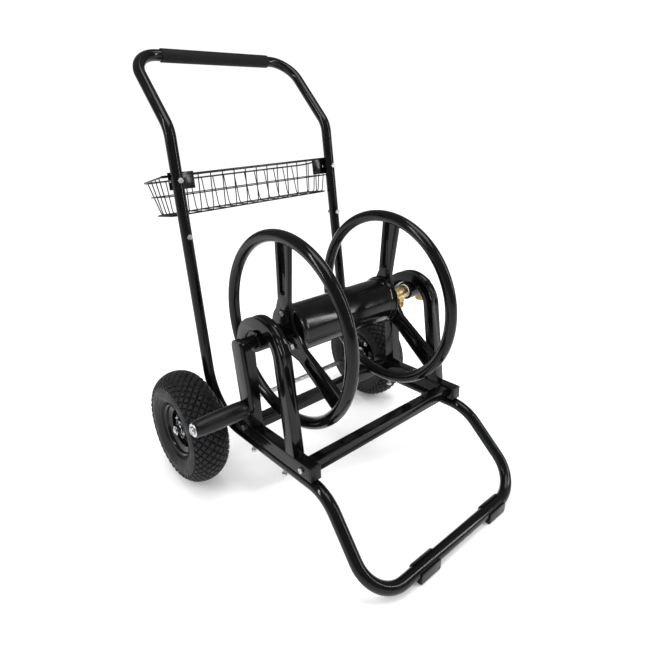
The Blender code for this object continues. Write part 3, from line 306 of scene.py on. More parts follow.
turned_brass, tree, shader, place = start_finish("turned_brass", "#cdb67c", 0.32, 1.0)
tarnish = add(tree, NOISE, None, {"Vector": place, "Scale": MM / 9, "Detail": 7.0})
rings = add(
    tree,
    "ShaderNodeTexWave",
    {"wave_type": "BANDS", "bands_direction": "X"},
    {"Vector": place, "Scale": MM / 3.2, "Distortion": 1.5, "Detail": 2.0},
)
weather(tree, shader, (tarnish, "Fac"), "#b0955a", "#e2cf9c", 0.24, 0.42)
bump = add(tree, "ShaderNodeBump", None, {"Height": (rings, "Fac"), "Strength": 0.08, "Distance": 0.0002})
tree.links.new(bump.outputs["Normal"], shader.inputs["Normal"])

floor_paint, tree, shader, place = start_finish("white_floor", "#ffffff", 0.9, Specular_IOR_Level=0.0)
mottle = add(tree, NOISE, None, {"Vector": place, "Scale": 3.0, "Detail": 3.0})
weather(tree, shader, (mottle, "Fac"), "#fbfbfb", "#ffffff")
floor.data.materials.append(floor_paint)

FINISHES = {
    "black_enamel": powder_coat,
    "tyre_rubber": tyre_rubber,
    "grip_foam": grip_foam,
    "black_plastic": black_plastic,
    "white_plastic": white_nylon,
    "zinc_plate": zinc_plate,
    "brass": turned_brass,
}
for part in frame["record"]["subparts"]:
    node = frame["nodes"][part["node"]]
    node.data.materials.clear()
    node.data.materials.append(FINISHES[part["material_slot"]])
print(len(FINISHES), "finishes on", len(frame["nodes"]), "CAD pieces")

# %% [markdown]
# ## Helpers for shapes
# Most of the cart is one of four things: a bent rod or tube, a flat plate with an outline, a turned piece, or
# a box. Each has a helper that starts from an ordinary Blender object and ends with a plain mesh, so that the
# object itself can sit at the origin with its place in its mesh.

# %% Shape helpers
def clear_selection():
    if bpy.context.mode != "OBJECT":
        bpy.ops.object.mode_set(mode="OBJECT")
    bpy.ops.object.select_all(action="DESELECT")


def pick(*objs):
    """Makes these the only selected objects, the first of them the active one."""
    clear_selection()
    for obj in objs:
        obj.select_set(True)
    bpy.context.view_layer.objects.active = objs[0]


def apply_place(obj):
    pick(obj)
    bpy.ops.object.transform_apply(location=True, rotation=True, scale=True)
    return obj


def apply_modifiers(obj):
    pick(obj)
    for modifier in list(obj.modifiers):
        bpy.ops.object.modifier_apply(modifier=modifier.name)
    return obj


def weld(obj, distance=0.00001):
    """Merges points that meet and turns every face outwards."""
    pick(obj)
    bpy.ops.object.mode_set(mode="EDIT")
    bpy.ops.mesh.select_all(action="SELECT")
    bpy.ops.mesh.remove_doubles(threshold=distance)
    bpy.ops.mesh.normals_make_consistent(inside=False)
    bpy.ops.object.mode_set(mode="OBJECT")
    return obj


def round_edges(obj, width, segments=3, angle=40):
    bevel = obj.modifiers.new("round_edges", "BEVEL")
    bevel.width = width
    bevel.segments = segments
    bevel.limit_method = "ANGLE"
    bevel.angle_limit = radians(angle)
    return apply_modifiers(obj)


def combine(obj, *others, operation="UNION"):
    """Joins pieces to this one, or cuts them out of it, and takes them away."""
    for other in others:
        step = obj.modifiers.new("combine", "BOOLEAN")
        step.object = other
        step.operation = operation
        step.solver = "EXACT"
        apply_modifiers(obj)
        bpy.data.objects.remove(other)
    return obj


def one_piece(obj, *others):
    """Puts separate shells that touch into one object, the way a welded piece is one."""
    pick(obj, *others)
    if others:
        bpy.ops.object.join()
    return obj


def finish(obj, name, finish_material, body, *nodes, angle=35, slot=None):
    """Names and shades a piece, gives it its material, and puts it on its body in place of CAD nodes."""
    apply_place(obj)
    bpy.ops.object.shade_smooth_by_angle(angle=radians(angle))
    for node in nodes:
        if frame["nodes"][node].name == name:
            name = name + "_finished"
    obj.name = name
    obj.data.name = name
    obj.data.materials.clear()
    obj.data.materials.append(finish_material)
    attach(obj, body)
    if nodes:
        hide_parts(*nodes)
    return obj


def rod(path, radius, sides=24, cyclic=False):
    """A round rod along points, made as a curve with a bevel and turned into a mesh."""
    curve = bpy.data.curves.new("rod", "CURVE")
    curve.dimensions = "3D"
    curve.bevel_depth = radius
    curve.bevel_resolution = max(0, (sides - 4) // 2)
    curve.use_fill_caps = not cyclic
    spline = curve.splines.new("POLY")
    spline.points.add(len(path) - 1)
    for point, place_at in zip(spline.points, path):
        point.co = (*place_at, 1)
    spline.use_cyclic_u = cyclic
    obj = bpy.data.objects.new("rod", curve)
    bpy.context.scene.collection.objects.link(obj)
    pick(obj)
    bpy.ops.object.convert(target="MESH")
    return weld(bpy.context.object)


def bent(points, radii, segments=14):
    """Corner points, with each inner corner turned into an arc of its own radius."""
    path = [Vector(points[0])]
    for before, corner, after, radius in zip(points, points[1:], points[2:], radii):
        corner = Vector(corner)
        back = (Vector(before) - corner).normalized()
        ahead = (Vector(after) - corner).normalized()
        half = back.angle(ahead) / 2
        centre = corner + (back + ahead).normalized() * (radius / sin(half))
        arm_a = corner + back * (radius / tan(half)) - centre
        arm_b = corner + ahead * (radius / tan(half)) - centre
        sweep = arm_a.angle(arm_b)
        for i in range(segments + 1):
            turn = sweep * i / segments
            path.append(centre + (arm_a * sin(sweep - turn) + arm_b * sin(turn)) / sin(sweep))
    path.append(Vector(points[-1]))
    return path


def plate(outlines, thickness, x, edge=0.0, segments=3):
    """Closed (y, z) outlines filled and thickened square to X, with the middle of the thickness at x."""
    curve = bpy.data.curves.new("plate", "CURVE")
    curve.dimensions = "2D"
    curve.fill_mode = "BOTH"
    curve.extrude = thickness / 2
    for outline in outlines:
        spline = curve.splines.new("POLY")
        spline.points.add(len(outline) - 1)
        for point, (y, z) in zip(spline.points, outline):
            point.co = (y, z, 0, 1)
        spline.use_cyclic_u = True
    obj = bpy.data.objects.new("plate", curve)
    bpy.context.scene.collection.objects.link(obj)
    obj.location = (x, 0, 0)
    obj.rotation_euler = (pi / 2, 0, pi / 2)
    pick(obj)
    bpy.ops.object.convert(target="MESH")
    obj = apply_place(weld(bpy.context.object))
    return round_edges(obj, edge, segments) if edge else obj


def arc(y, z, radius, start, end, segments):
    angles = [start + (end - start) * i / segments for i in range(segments + 1)]
    return [(y + radius * cos(a), z + radius * sin(a)) for a in angles]


def mirrored(profile):
    """The same profile on the other side of the middle, in the order that carries on from it."""
    return [(radius, -along) for radius, along in reversed(profile)]


def ring_profile(inner, outer, start, end, chamfer):
    """A plain ring for the lathe, with its two outer corners turned off."""
    way = chamfer if end > start else -chamfer
    outside = [(outer - chamfer, start), (outer, start + way), (outer, end - way), (outer - chamfer, end)]
    return [(inner, start)] + outside + [(inner, end)]


def turned(profile, centre, direction=(1, 0, 0), steps=64):
    """A closed profile of (radius, distance along the axis) spun round that axis, as on a lathe."""
    axis = Vector(direction).normalized()
    side = axis.orthogonal().normalized()
    mesh = bpy.data.meshes.new("turned")
    points = [Vector(centre) + side * r + axis * a for r, a in profile]
    mesh.from_pydata(points, [(i, (i + 1) % len(points)) for i in range(len(points))], [])
    obj = bpy.data.objects.new("turned", mesh)
    bpy.context.scene.collection.objects.link(obj)
    pick(obj)
    bpy.ops.object.mode_set(mode="EDIT")
    bpy.ops.mesh.select_all(action="SELECT")
    bpy.ops.mesh.spin(steps=steps, angle=2 * pi, center=Vector(centre), axis=axis)
    bpy.ops.object.mode_set(mode="OBJECT")
    return weld(obj)


def block(centre, size, tilt=0.0, edge=0.0, segments=3):
    """A box of this size about a centre, turned round X by tilt, with its edges rounded."""
    bpy.ops.mesh.primitive_cube_add(size=1, location=centre, rotation=(tilt, 0, 0))
    obj = bpy.context.object
    obj.scale = size
    apply_place(obj)
    return round_edges(obj, edge, segments) if edge else obj


def drill(obj, start, end, radius, sides=32):
    """Cuts a round hole from one point to another."""
    start, end = Vector(start), Vector(end)
    turn = (end - start).to_track_quat("Z", "Y").to_euler()
    bpy.ops.mesh.primitive_cylinder_add(
        vertices=sides, radius=radius, depth=(end - start).length, location=(start + end) / 2, rotation=turn
    )
    return combine(obj, apply_place(bpy.context.object), operation="DIFFERENCE")


# %% [markdown]
# ## Frame tubes
# The frame is steel tube, 25 mm across, bent on a former. A tube is a curve with a round bevel: its path only
# needs corners and bend radii. The handle is one tube from splice to splice, each upright is one from its
# splice down to the base, and the front loop is one more.

# %% Handle, uprights and front loop
left, right = sideways(-HALF_WIDTH), sideways(HALF_WIDTH)
SPLICE, BASE_END, BASE_BEND = 0.393, 0.217, 0.120
handle_foot = on_upright(SPLICE + GAP)
handle_path = bent(
    [point + left for point in (handle_foot, KINK, HANDLE_BAR)]
    + [point + right for point in (HANDLE_BAR, KINK, handle_foot)],
    [0.060, 0.062, 0.062, 0.060],
)
handle = rod(handle_path, TUBE_RADIUS, 40)
finish(handle, "handle_tube", powder_coat, "frame", "upper_handle")
for side, sign in SIDES.items():
    x = sideways(sign * HALF_WIDTH)
    path = bent([on_base(BASE_END) + x, BASE_CORNER + x, on_upright(SPLICE) + x], [BASE_BEND], 20)
    finish(rod(path, TUBE_RADIUS, 40), side + "_upright_tube", powder_coat, "frame", side + "_upright")

BAR_Y, BAR_Z = -0.541, 0.021
loop_start, loop_bend, loop_bar = on_base(BASE_END + GAP), on_base(0.401), at(0, BAR_Y, BAR_Z)
flare = sideways(0.230)
loop_path = bent(
    [loop_start + left, loop_bend + left, loop_bar - flare]
    + [loop_bar + flare, loop_bend + right, loop_start + right],
    [0.090, 0.070, 0.070, 0.090],
)
finish(rod(loop_path, TUBE_RADIUS, 40), "front_loop_tube", powder_coat, "frame", "front_loop")

# %% [markdown]
# ## Handle sleeve
# The sleeve is a foam tube pushed along the straight part of the handle. It is turned, with its ends rolled
# in a little where the foam grips the steel.

# %% Handle sleeve
half, outer, inner = 0.146, TUBE_RADIUS + GAP + 0.0024, TUBE_RADIUS + 0.0001
sleeve_end = [(inner, -half), (outer - 0.0012, -half), (outer - 0.0003, -half + 0.0008)]
sleeve_end += [(outer, -half + 0.003)]
sleeve_profile = sleeve_end + [(outer, 0)] + mirrored(sleeve_end)
finish(turned(sleeve_profile, HANDLE_BAR), "handle_sleeve", grip_foam, "frame", "handle_grip_sleeve")

# %% [markdown]
# ## Tyres
# A 10-inch air tyre has a round section, a side wall with raised rings, and a tread of small diamonds moulded
# in the crown. The section is spun finely enough that every diamond of the lattice can be picked out by its
# place: each point of the crown is pushed out, except in two families of crossing grooves, and the diamonds
# are what stands between them.

# %% Tyres
TYRE_HALF, RIM_RADIUS = 0.043, 0.056
SECTION_RADIUS, SECTION_MIDDLE, GROOVE = 0.0352, 0.0905, 0.0040
STEPS, SECTION_POINTS = 504, 131
COLUMNS, ROWS = 42, 3.2  # diamonds round the tyre, and from the middle of the crown to its edge
BEAD_ANGLE, CROWN_EDGE, CROWN_FADE = radians(142), radians(74), radians(7)
GROOVE_HALF, GROOVE_SLOPE = 0.03, 0.10  # as shares of the distance between two grooves


def tyre_section():
    """The tyre's outline from one bead over the crown to the other, as (radius, distance along the axle)."""
    points = []
    for i in range(SECTION_POINTS):
        angle = BEAD_ANGLE * (2 * i / (SECTION_POINTS - 1) - 1)
        radius = SECTION_MIDDLE + SECTION_RADIUS * cos(angle)
        along = (TYRE_HALF - 0.0005) * sin(angle)
        points.append((radius, along))
    return points


section = tyre_section()
bead = [(RIM_RADIUS + 0.0008, along) for along in (0.0265, 0.018, -0.018, -0.0265)]
tyre = turned(section + bead, AXLE, (1, 0, 0), STEPS)
mesh = tyre.data


def crown_place(point):
    """Angle round the axle, and angle over the crown, of a point on the tyre."""
    local = point - AXLE
    radius = (local.y**2 + local.z**2) ** 0.5
    over = atan2(local.x / (TYRE_HALF - 0.0005), (radius - SECTION_MIDDLE) / SECTION_RADIUS)
    return atan2(local.z, local.y), over


bm = bmesh.new()
bm.from_mesh(mesh)
bm.normal_update()
WALL_RINGS = ((88, 3.5, 0.0004), (101, 3.0, 0.0009), (128, 5.0, 0.0014))  # degrees over, half width, height
for vert in bm.verts:
    turn, over = crown_place(vert.co)
    if abs(over) > CROWN_EDGE:
        # Raised rings run round each side wall: the tread's shoulder, a thin rib and a guard.
        side_way = sideways(vert.co.x - AXLE.x).normalized()
        for middle, spread, height in WALL_RINGS:
            share = (abs(over) - radians(middle)) / radians(spread)
            if abs(share) < 1:
                vert.co += side_way * height * (1 - share**2) ** 2
        continue
    # Two families of slanting grooves cross each other, and what stands between them is the diamonds.
    across = over / CROWN_EDGE * ROWS
    round_it = turn / (2 * pi) * COLUMNS
    first, second = (round_it + across) % 1.0, (round_it - across) % 1.0
    nearest = min(first, 1 - first, second, 1 - second)
    local = vert.co - AXLE
    outward = local - Vector((0, local.y, local.z)).normalized() * SECTION_MIDDLE
    outward.normalize()
    edge_fade = min(1.0, (CROWN_EDGE - abs(over)) / CROWN_FADE)
    raised = min(1.0, max(0.0, nearest - GROOVE_HALF) / GROOVE_SLOPE)
    vert.co += outward * GROOVE * raised * edge_fade
bm.to_mesh(mesh)
bm.free()
tyre.name = "tyre_shape"


def copy_of(obj, matrix):
    """A copy with a mesh of its own, moved by a matrix."""
    made = bpy.data.objects.new(obj.name, obj.data.copy())
    bpy.context.scene.collection.objects.link(made)
    made.data.transform(matrix)
    return weld(made) if matrix.determinant() < 0 else made


for side, sign in SIDES.items():
    made = copy_of(tyre, Matrix.Translation((sign * WHEEL_X, 0, 0)))
    finish(made, side + "_air_tyre", tyre_rubber, side + "_wheel", side + "_tyre", angle=50)
print("tyre", len(mesh.polygons), "faces")
bpy.data.objects.remove(tyre)

# %% [markdown]
# ## Fasteners
# Every bolt is a hexagon bolt. A lathe profile gives the threaded shank: each thread is one small ridge,
# which looks like a thread and needs no helix. The head and the nuts are six-sided blocks with their corners
# turned off. One bolt of each length is modelled along +X, and the rest are copies.


# %% Fastener shapes
THREAD_PITCH, NUT_HEIGHT, BOLT_HOLE = 0.00125, 0.0055, 0.0035


def hexagon(start, end, radius):
    """A hexagon head or nut between two distances along X, its corners turned off on the outer side."""
    middle = ((start + end) / 2, 0, 0)
    bpy.ops.mesh.primitive_cylinder_add(
        vertices=6, radius=radius, depth=end - start, location=middle, rotation=(0, pi / 2, 0)
    )
    block_of_six = apply_place(bpy.context.object)
    # The cone that turns the corners off is a lathe piece as well: what both share is kept.
    cap = turned(
        [(0.0, start), (radius * 0.93, start), (radius * 1.02, start + 0.0012)]
        + [(radius * 1.02, end - 0.0012), (radius * 0.93, end), (0.0, end)],
        (0, 0, 0),
    )
    return combine(block_of_six, cap, operation="INTERSECT")


def screw_shank(start, end, radius, thread_from=None, pitch=THREAD_PITCH):
    """A lathe profile from the axis out: plain up to thread_from, then one ridge for each pitch."""
    thread_from = start if thread_from is None else thread_from
    profile = [(0.0, start), (radius, start), (radius, thread_from)]
    count = max(1, int((end - thread_from - 0.001) / pitch))
    for i in range(count):
        at_start = thread_from + i * pitch
        profile += [(radius * 0.86, at_start + pitch * 0.3), (radius, at_start + pitch * 0.9)]
    profile += [(radius * 0.86, end - 0.0008), (radius * 0.7, end), (0.0, end)]
    return turned(profile, (0, 0, 0), steps=24)


def along_direction(head, direction):
    """The matrix that lays something modelled along +X from the origin along a direction from a point."""
    return Matrix.Translation(Vector(head)) @ Vector(direction).to_track_quat("X", "Z").to_matrix().to_4x4()


PATTERN_BOLTS = {}


def bolt(name, head, direction, length, nut_at, body, *nodes, radius=0.003, head_radius=0.0062, plain=0.0):
    """A bolt whose head bears at a point. Equal bolts share one modelled shape."""
    key = (round(length, 5), None if nut_at is None else round(nut_at, 5), radius, head_radius)
    if key not in PATTERN_BOLTS:
        head_block = hexagon(-0.0042, 0.0, head_radius)
        pieces = [screw_shank(-0.002, length, radius, plain)]
        if nut_at is not None:
            pieces.append(hexagon(nut_at, nut_at + NUT_HEIGHT, 0.0062))
        shape = one_piece(head_block, *pieces)
        shape.name = "bolt_shape"
        PATTERN_BOLTS[key] = shape
    made = copy_of(PATTERN_BOLTS[key], along_direction(head, direction))
    return finish(made, name, zinc_plate, body, *nodes)


BASKET_TOP, PLATE_DROP = 0.554, 0.0185
RAIL_BOLTS, CROSS_BOLTS = {"rear": 0.162, "front": 0.273}, {"rear": 0.1487, "front": 0.347}
for side, sign in SIDES.items():
    x = sign * HALF_WIDTH
    reach = TUBE_RADIUS + GAP
    seat = on_upright(SPLICE + 0.022, -reach, x)
    bolt(side + "_splice_fastener", seat, UPRIGHT_BACK, 0.035, 2 * reach, "frame", side + "_splice_bolt")
    seat = on_upright(BASKET_TOP - PLATE_DROP, -reach, x)
    nut_at = 2 * reach + 0.0033
    bolt(side + "_basket_fastener", seat, UPRIGHT_BACK, 0.0364, nut_at, "frame", side + "_basket_bolt")
    for end, distance in RAIL_BOLTS.items():
        height = reach + 0.0018 + GAP
        depth = height + TUBE_RADIUS + 0.020
        bolt(side + "_" + end + "_rail_fastener", on_base(distance, height, x), -BASE_UP, depth,
             depth - 0.0075, "frame", side + "_" + end + "_rail_bolt")
    for end, distance in CROSS_BOLTS.items():
        head = on_base(distance, reach + 0.015, x + sign * (0.0125 + GAP))
        bolt(side + "_" + end + "_cross_fastener", head, (-sign, 0, 0), 0.043, None, "frame",
             side + "_" + end + "_cross_bolt")
DISC_X = {side: REEL_MIDDLE_X + sign * DISC_SPACING for side, sign in SIDES.items()}
ARM_ANGLES = [radians(90 + 120 * i) for i in range(3)]


def bolt_place(x, angle):
    """A point on the circle of tie bolts, this far along the shaft."""
    return REEL + Vector((x, cos(angle) * BOLT_CIRCLE, sin(angle) * BOLT_CIRCLE))


for i, angle in enumerate(ARM_ANGLES, 1):
    head = bolt_place(DISC_X["crank_side"] - 0.005 - GAP, angle)
    nodes = ("reel_tie_bolt_%d" % i,)
    bolt("drum_tie_fastener_%d" % i, head, (1, 0, 0), 0.2961, 0.2896, "reel", *nodes, plain=0.26)
print(len(PATTERN_BOLTS), "bolt shapes")

# %% [markdown]
# ## Wheels
# The rim is two steel pressings with a rolled flange on each side and a dished middle, held together by four
# bolts round the hub. It is spun from one section. The bush in the middle turns on the axle, and a nut keeps
# it on.

# %% Rims, bushes and axle
half = TYRE_HALF * 0.62
rim_section = [
    (0.019, 0.021), (0.021, 0.0215), (0.0225, 0.020), (0.024, 0.012), (0.030, 0.0075), (0.038, 0.0065),
    (0.0425, 0.009), (0.0437, 0.013), (0.0442, 0.019), (0.050, 0.0215), (0.0545, 0.0235),
    (0.0555, half + 0.0008),
    (0.0575, half + 0.0030), (0.0600, half + 0.0038), (0.0604, half + 0.0026), (0.0585, half + 0.0012),
    (0.0566, half - 0.0012), (0.0561, 0.0205), (0.0500, 0.0188), (0.0465, 0.0175), (0.0461, 0.012),
    (0.0461, 0.0),
]
rim_profile = rim_section + mirrored(rim_section[:-1])
bush_half = [(0.0072, -0.024), (0.0112, -0.024), (0.012, -0.0232), (0.012, -0.0185), (0.0185, -0.0185)]
bush_half += [(0.0190, -0.0175)]
for side, sign in SIDES.items():
    centre = AXLE + sideways(sign * WHEEL_X)
    rim = turned(rim_profile, centre, steps=96)
    heads = []
    for i in range(4):
        angle = radians(20 + 90 * i)
        for way in (-1, 1):
            seat = centre + Vector((way * 0.0074, 0.032 * cos(angle), 0.032 * sin(angle)))
            made = one_piece(hexagon(0.0, 0.0052, 0.0062), screw_shank(0.001, 0.0095, 0.003))
            made.data.transform(along_direction(seat, (way, 0, 0)))
            heads.append(made)
    studs = one_piece(heads[0], *heads[1:])
    finish(studs, side + "_rim_fasteners", zinc_plate, side + "_wheel")
    finish(rim, side + "_pressed_rim", powder_coat, side + "_wheel", side + "_wheel_rim")
    bush = turned(bush_half + mirrored(bush_half), centre, steps=48)
    finish(bush, side + "_hub_bush", zinc_plate, side + "_wheel", side + "_wheel_bush")
    nut_start = WHEEL_X + HUB_HALF + SIDE_PLAY
    nut = hexagon(0.0, 0.008, 0.0115)
    nut.data.transform(along_direction(AXLE + sideways(sign * nut_start), (sign, 0, 0)))
    finish(nut, side + "_axle_lock_nut", zinc_plate, "frame", side + "_axle_nut")
reach = WHEEL_X + HUB_HALF + 0.012
THREADS = 16
thread = []
for i in range(THREADS):
    start = reach - 0.0012 - (THREADS - i) * THREAD_PITCH
    thread += [(0.0057, start + 0.0004), (0.0065, start + 0.0011)]
end_profile = [(0.0065, reach - 0.0222)] + thread + [(0.0058, reach - 0.0008), (0.0048, reach), (0.0, reach)]
axle_shaft = turned(mirrored(end_profile) + end_profile, AXLE, steps=40)
finish(axle_shaft, "axle_shaft", zinc_plate, "frame", "axle_rod")

# %% [markdown]
# ## Reel discs
# Each disc is a ring of 25 mm tube with three pressed arms that meet on a flat hub plate. A trough with a
# round end is pressed down the middle of each arm. Both discs are the same pressing and face the crank, so
# one is modelled and the other is a copy, moved along the shaft and turned a little.


# %% Discs
PLATE, PLATE_LEFT = 0.010, 0.004
HUB_WIDTH, RIM_WIDTH, LIP = 0.033, 0.042, 0.0082
HUB_SHOULDER = 0.039


def arm_places(angle):
    return Vector((0, cos(angle), sin(angle))), Vector((0, sin(angle), -cos(angle)))


def spider():
    outline = []
    for angle in ARM_ANGLES:
        along, across = arm_places(angle)
        ends = ((0.066, HUB_WIDTH), (0.188, RIM_WIDTH), (0.188, -RIM_WIDTH), (0.066, -HUB_WIDTH))
        for distance, width in ends:
            point = REEL + along * distance + across * width / 2
            outline.append((point.y, point.z))
        shoulder = angle + radians(60)
        outline += arc(REEL.y, REEL.z, HUB_SHOULDER, shoulder - 0.16, shoulder + 0.16, 6)
    return outline


def trough(angle, lip):
    along, across = arm_places(angle)
    near, far = REEL + along * 0.083, REEL + along * 0.181
    near_half, far_half = HUB_WIDTH / 2 - lip, RIM_WIDTH / 2 - lip
    points = []
    for i in range(13):
        turn = pi * i / 12
        points.append(near + (across * cos(turn) - along * sin(turn) * 0.8) * near_half)
    points += [far - across * far_half, far + across * far_half]
    return [(p.y, p.z) for p in points]


disc_x = BENCH.x + DISC_X["crank_side"]
centre = REEL + sideways(DISC_X["crank_side"])
spider_plate = plate([spider()], PLATE, disc_x)
for angle in ARM_ANGLES:
    # Three cuts, each narrower and deeper than the last, slope the walls of the trough the way a press does.
    for step in range(3):
        deep = (PLATE - PLATE_LEFT) * (0.45, 0.8, 1.0)[step]
        low, high = -PLATE / 2 - 0.003, -PLATE / 2 + deep
        cutter = plate([trough(angle, LIP + 0.0009 * step)], high - low, disc_x + (low + high) / 2)
        combine(spider_plate, cutter, operation="DIFFERENCE")
reach = sideways(0.03)
drill(spider_plate, centre - reach, centre + reach, 0.0133, 48)
bpy.ops.mesh.primitive_torus_add(
    major_radius=0.190, minor_radius=TUBE_RADIUS, major_segments=144, minor_segments=32,
    location=centre, rotation=(0, pi / 2, 0),
)
ring = apply_place(bpy.context.object)
for side, arm_turn in {"crank_side": 0.0, "inlet_side": radians(5)}.items():
    # The arms of the far disc are turned, but its bolt holes stay in line with the bolts.
    shift = Matrix.Translation((DISC_X[side] - DISC_X["crank_side"], 0, 0))
    turn_about = Matrix.Translation(REEL) @ Matrix.Rotation(arm_turn, 4, "X") @ Matrix.Translation(-REEL)
    disc = copy_of(spider_plate, shift @ turn_about)
    for angle in ARM_ANGLES:
        hole_at = bolt_place(DISC_X[side], angle)
        drill(disc, hole_at - reach, hole_at + reach, 0.0034, 24)
    round_edges(disc, 0.0013, 3, 50)
    disc = one_piece(disc, copy_of(ring, shift))
    finish(disc, side + "_reel_disc", powder_coat, "reel", side + "_disc")
bpy.data.objects.remove(spider_plate)
bpy.data.objects.remove(ring)

# %% [markdown]
# ## Drum and shaft
# The hose winds on a drum of rolled sheet with a stepped flange pressed on each end. Both it and the hollow
# shaft through it are lathe pieces.

# %% Drum and shaft
half = DISC_SPACING - PLATE / 2 - GAP
# Each pair is a radius and how far in from the end it lies.
steps_in = [(0.0133, 0), (0.0525, 0), (0.0535, 0.001), (0.0535, 0.0040), (0.0525, 0.0050), (0.0508, 0.0052)]
steps_in += [(0.0504, 0.0058), (0.0504, 0.017), (0.0494, 0.0178), (0.0490, 0.0182)]
end = [(radius, half - inset) for radius, inset in steps_in]
inside = [(0.0470, -half + 0.005), (0.0133, -half + 0.005)]
drum_profile = end + mirrored(end) + inside[::-1] + mirrored(inside[::-1])
drum = turned(drum_profile, REEL + sideways(REEL_MIDDLE_X), steps=128)
finish(drum, "winding_drum", powder_coat, "reel", "drum")
OUTLET_X = HALF_WIDTH - 0.041
start, end_x = CRANK_X + CRANK_THICKNESS / 2 + GAP, OUTLET_X - 0.022
shaft_profile = ring_profile(0.010, 0.013, start, end_x, 0.0006)
finish(turned(shaft_profile, REEL, steps=64), "hollow_shaft", powder_coat, "reel", "reel_shaft")

# %% [markdown]
# ## Stands and bearings
# An arch of square tube stands on each rail and carries a bearing for the reel. Bending square tube on a
# former pulls its outer face hollow, so the arch has a shallow valley along its bend. The legs spread a
# little and lean with the rails, so each leg's end is found by following its line down to the slanted top of
# the rail.

# %% Stands
SECTION, ARCH, HOUSING_HALF = 0.025, 0.063, 0.020
arch_centre = REEL + Vector((0, -0.0023, -0.0308))
RAIL_TOP = TUBE_RADIUS + GAP + 0.030
rail_top = on_base(0, RAIL_TOP + GAP)


def stand_foot(angle, radius):
    """Where a straight leg that leaves the arch at this angle and radius meets the rail."""
    y, z = arch_centre.y + radius * cos(angle), arch_centre.z + radius * sin(angle)
    down = Vector((sin(angle), -cos(angle)))
    if down.y > 0:
        down = -down
    drop = z - (rail_top.z - tan(BASE_RISE) * (y - rail_top.y))
    travel = drop / (-tan(BASE_RISE) * down.x - down.y)
    return y + down.x * travel, z + down.y * travel


rear, front = radians(-7.7 + 1.75), radians(180 - 7.7 - 1.75)
inner, outer = ARCH - SECTION / 2, ARCH + SECTION / 2
stand_outline = [stand_foot(rear, outer)] + arc(arch_centre.y, arch_centre.z, outer, rear, front, 48)
stand_outline += [stand_foot(front, outer), stand_foot(front, inner)]
stand_outline += arc(arch_centre.y, arch_centre.z, inner, front, rear, 40) + [stand_foot(rear, inner)]
for side, sign in SIDES.items():
    x = sign * HALF_WIDTH
    stand = plate([stand_outline], SECTION, BENCH.x + x, 0.0035, 3)
    # The valley is the mark of a round former: a ring of 19 mm rod, set 3.4 mm low, bites deepest at the
    # top of the bend and runs out to nothing at its sides.
    bpy.ops.mesh.primitive_torus_add(
        major_radius=outer + 0.0096, minor_radius=0.0095, major_segments=128, minor_segments=40,
        location=arch_centre + Vector((x, 0, -0.0034)), rotation=(0, pi / 2, 0),
    )
    former = apply_place(bpy.context.object)
    limit = block(arch_centre + Vector((x, 0, 0.1)), (0.06, 0.3, 0.2))
    former = combine(former, limit, operation="INTERSECT")
    combine(stand, former, operation="DIFFERENCE")
    middle = REEL + sideways(x)
    housing = turned(ring_profile(0.0168, 0.0210, -HOUSING_HALF, HOUSING_HALF, 0.0008), middle)
    finish(one_piece(stand, housing), side + "_arch_stand", powder_coat, "frame", side + "_stand")
    liner = [(0.0137, -0.0203), (0.0163, -0.0203), (0.0163, 0.0203), (0.0184, 0.0203), (0.0187, 0.0206)]
    liner += [(0.0187, 0.0220), (0.0182, 0.0225), (0.0142, 0.0225), (0.0137, 0.0221)]
    finish(turned(liner, middle), side + "_sleeve_liner", black_plastic, "frame", side + "_bearing_liner")
lock_angle = radians(128)
lock_out = Vector((0, cos(lock_angle), sin(lock_angle)))
lock_seat = arch_centre + sideways(HALF_WIDTH) + lock_out * (outer + GAP)
knob = [(0.0, -0.012), (0.0025, -0.012), (0.0025, 0.0), (0.0044, 0.0), (0.0050, 0.0006), (0.0050, 0.0066)]
knob += [(0.0041, 0.0078), (0.0, 0.008)]
finish(turned(knob, lock_seat, lock_out, 40), "arch_screw", black_plastic, "frame", "inlet_side_stand_screw")

# %% [markdown]
# ## Rails, plugs and cross members
# Two lengths of box tube lie on the base tubes, with a moulded plug in each front end. Two cross members tie
# them together, and the front one has two spare holes in its top. Boxes are enough here: their long edges are
# rounded as a tube mill rounds them, and the holes are drilled where the bolts pass.

# %% Rails and cross members
RAIL_MIDDLE = TUBE_RADIUS + GAP + 0.015
RAIL_START, RAIL_END = 0.118, 0.371
rail_length, rail_centre = RAIL_END - RAIL_START, (RAIL_END + RAIL_START) / 2
for side, sign in SIDES.items():
    x = sign * HALF_WIDTH
    rail = block(on_base(rail_centre, RAIL_MIDDLE, x), (0.025, rail_length, 0.030), -BASE_RISE, 0.0022, 4)
    hollow = block(on_base(rail_centre, RAIL_MIDDLE, x), (0.0214, rail_length + 0.02, 0.0264), -BASE_RISE)
    combine(rail, hollow, operation="DIFFERENCE")
    for distance in RAIL_BOLTS.values():
        drill(rail, on_base(distance, 0.0, x), on_base(distance, RAIL_MIDDLE, x), BOLT_HOLE)
    for distance in CROSS_BOLTS.values():
        left_of, right_of = (on_base(distance, RAIL_MIDDLE, x + step) for step in (-0.02, 0.02))
        drill(rail, left_of, right_of, BOLT_HOLE)
    finish(rail, side + "_box_rail", powder_coat, "frame", side + "_rail")
    plug_at, shank_at = (on_base(RAIL_END + step, RAIL_MIDDLE, x) for step in (GAP + 0.0015, -0.0055))
    plug = block(plug_at, (0.0249, 0.003, 0.0299), -BASE_RISE, 0.0011, 3)
    shank = block(shank_at, (0.0205, 0.013, 0.0255), -BASE_RISE, 0.001, 2)
    finish(combine(plug, shank), side + "_tube_plug", black_plastic, "frame", side + "_rail_cap")
cross_half = HALF_WIDTH - 0.0125 - GAP
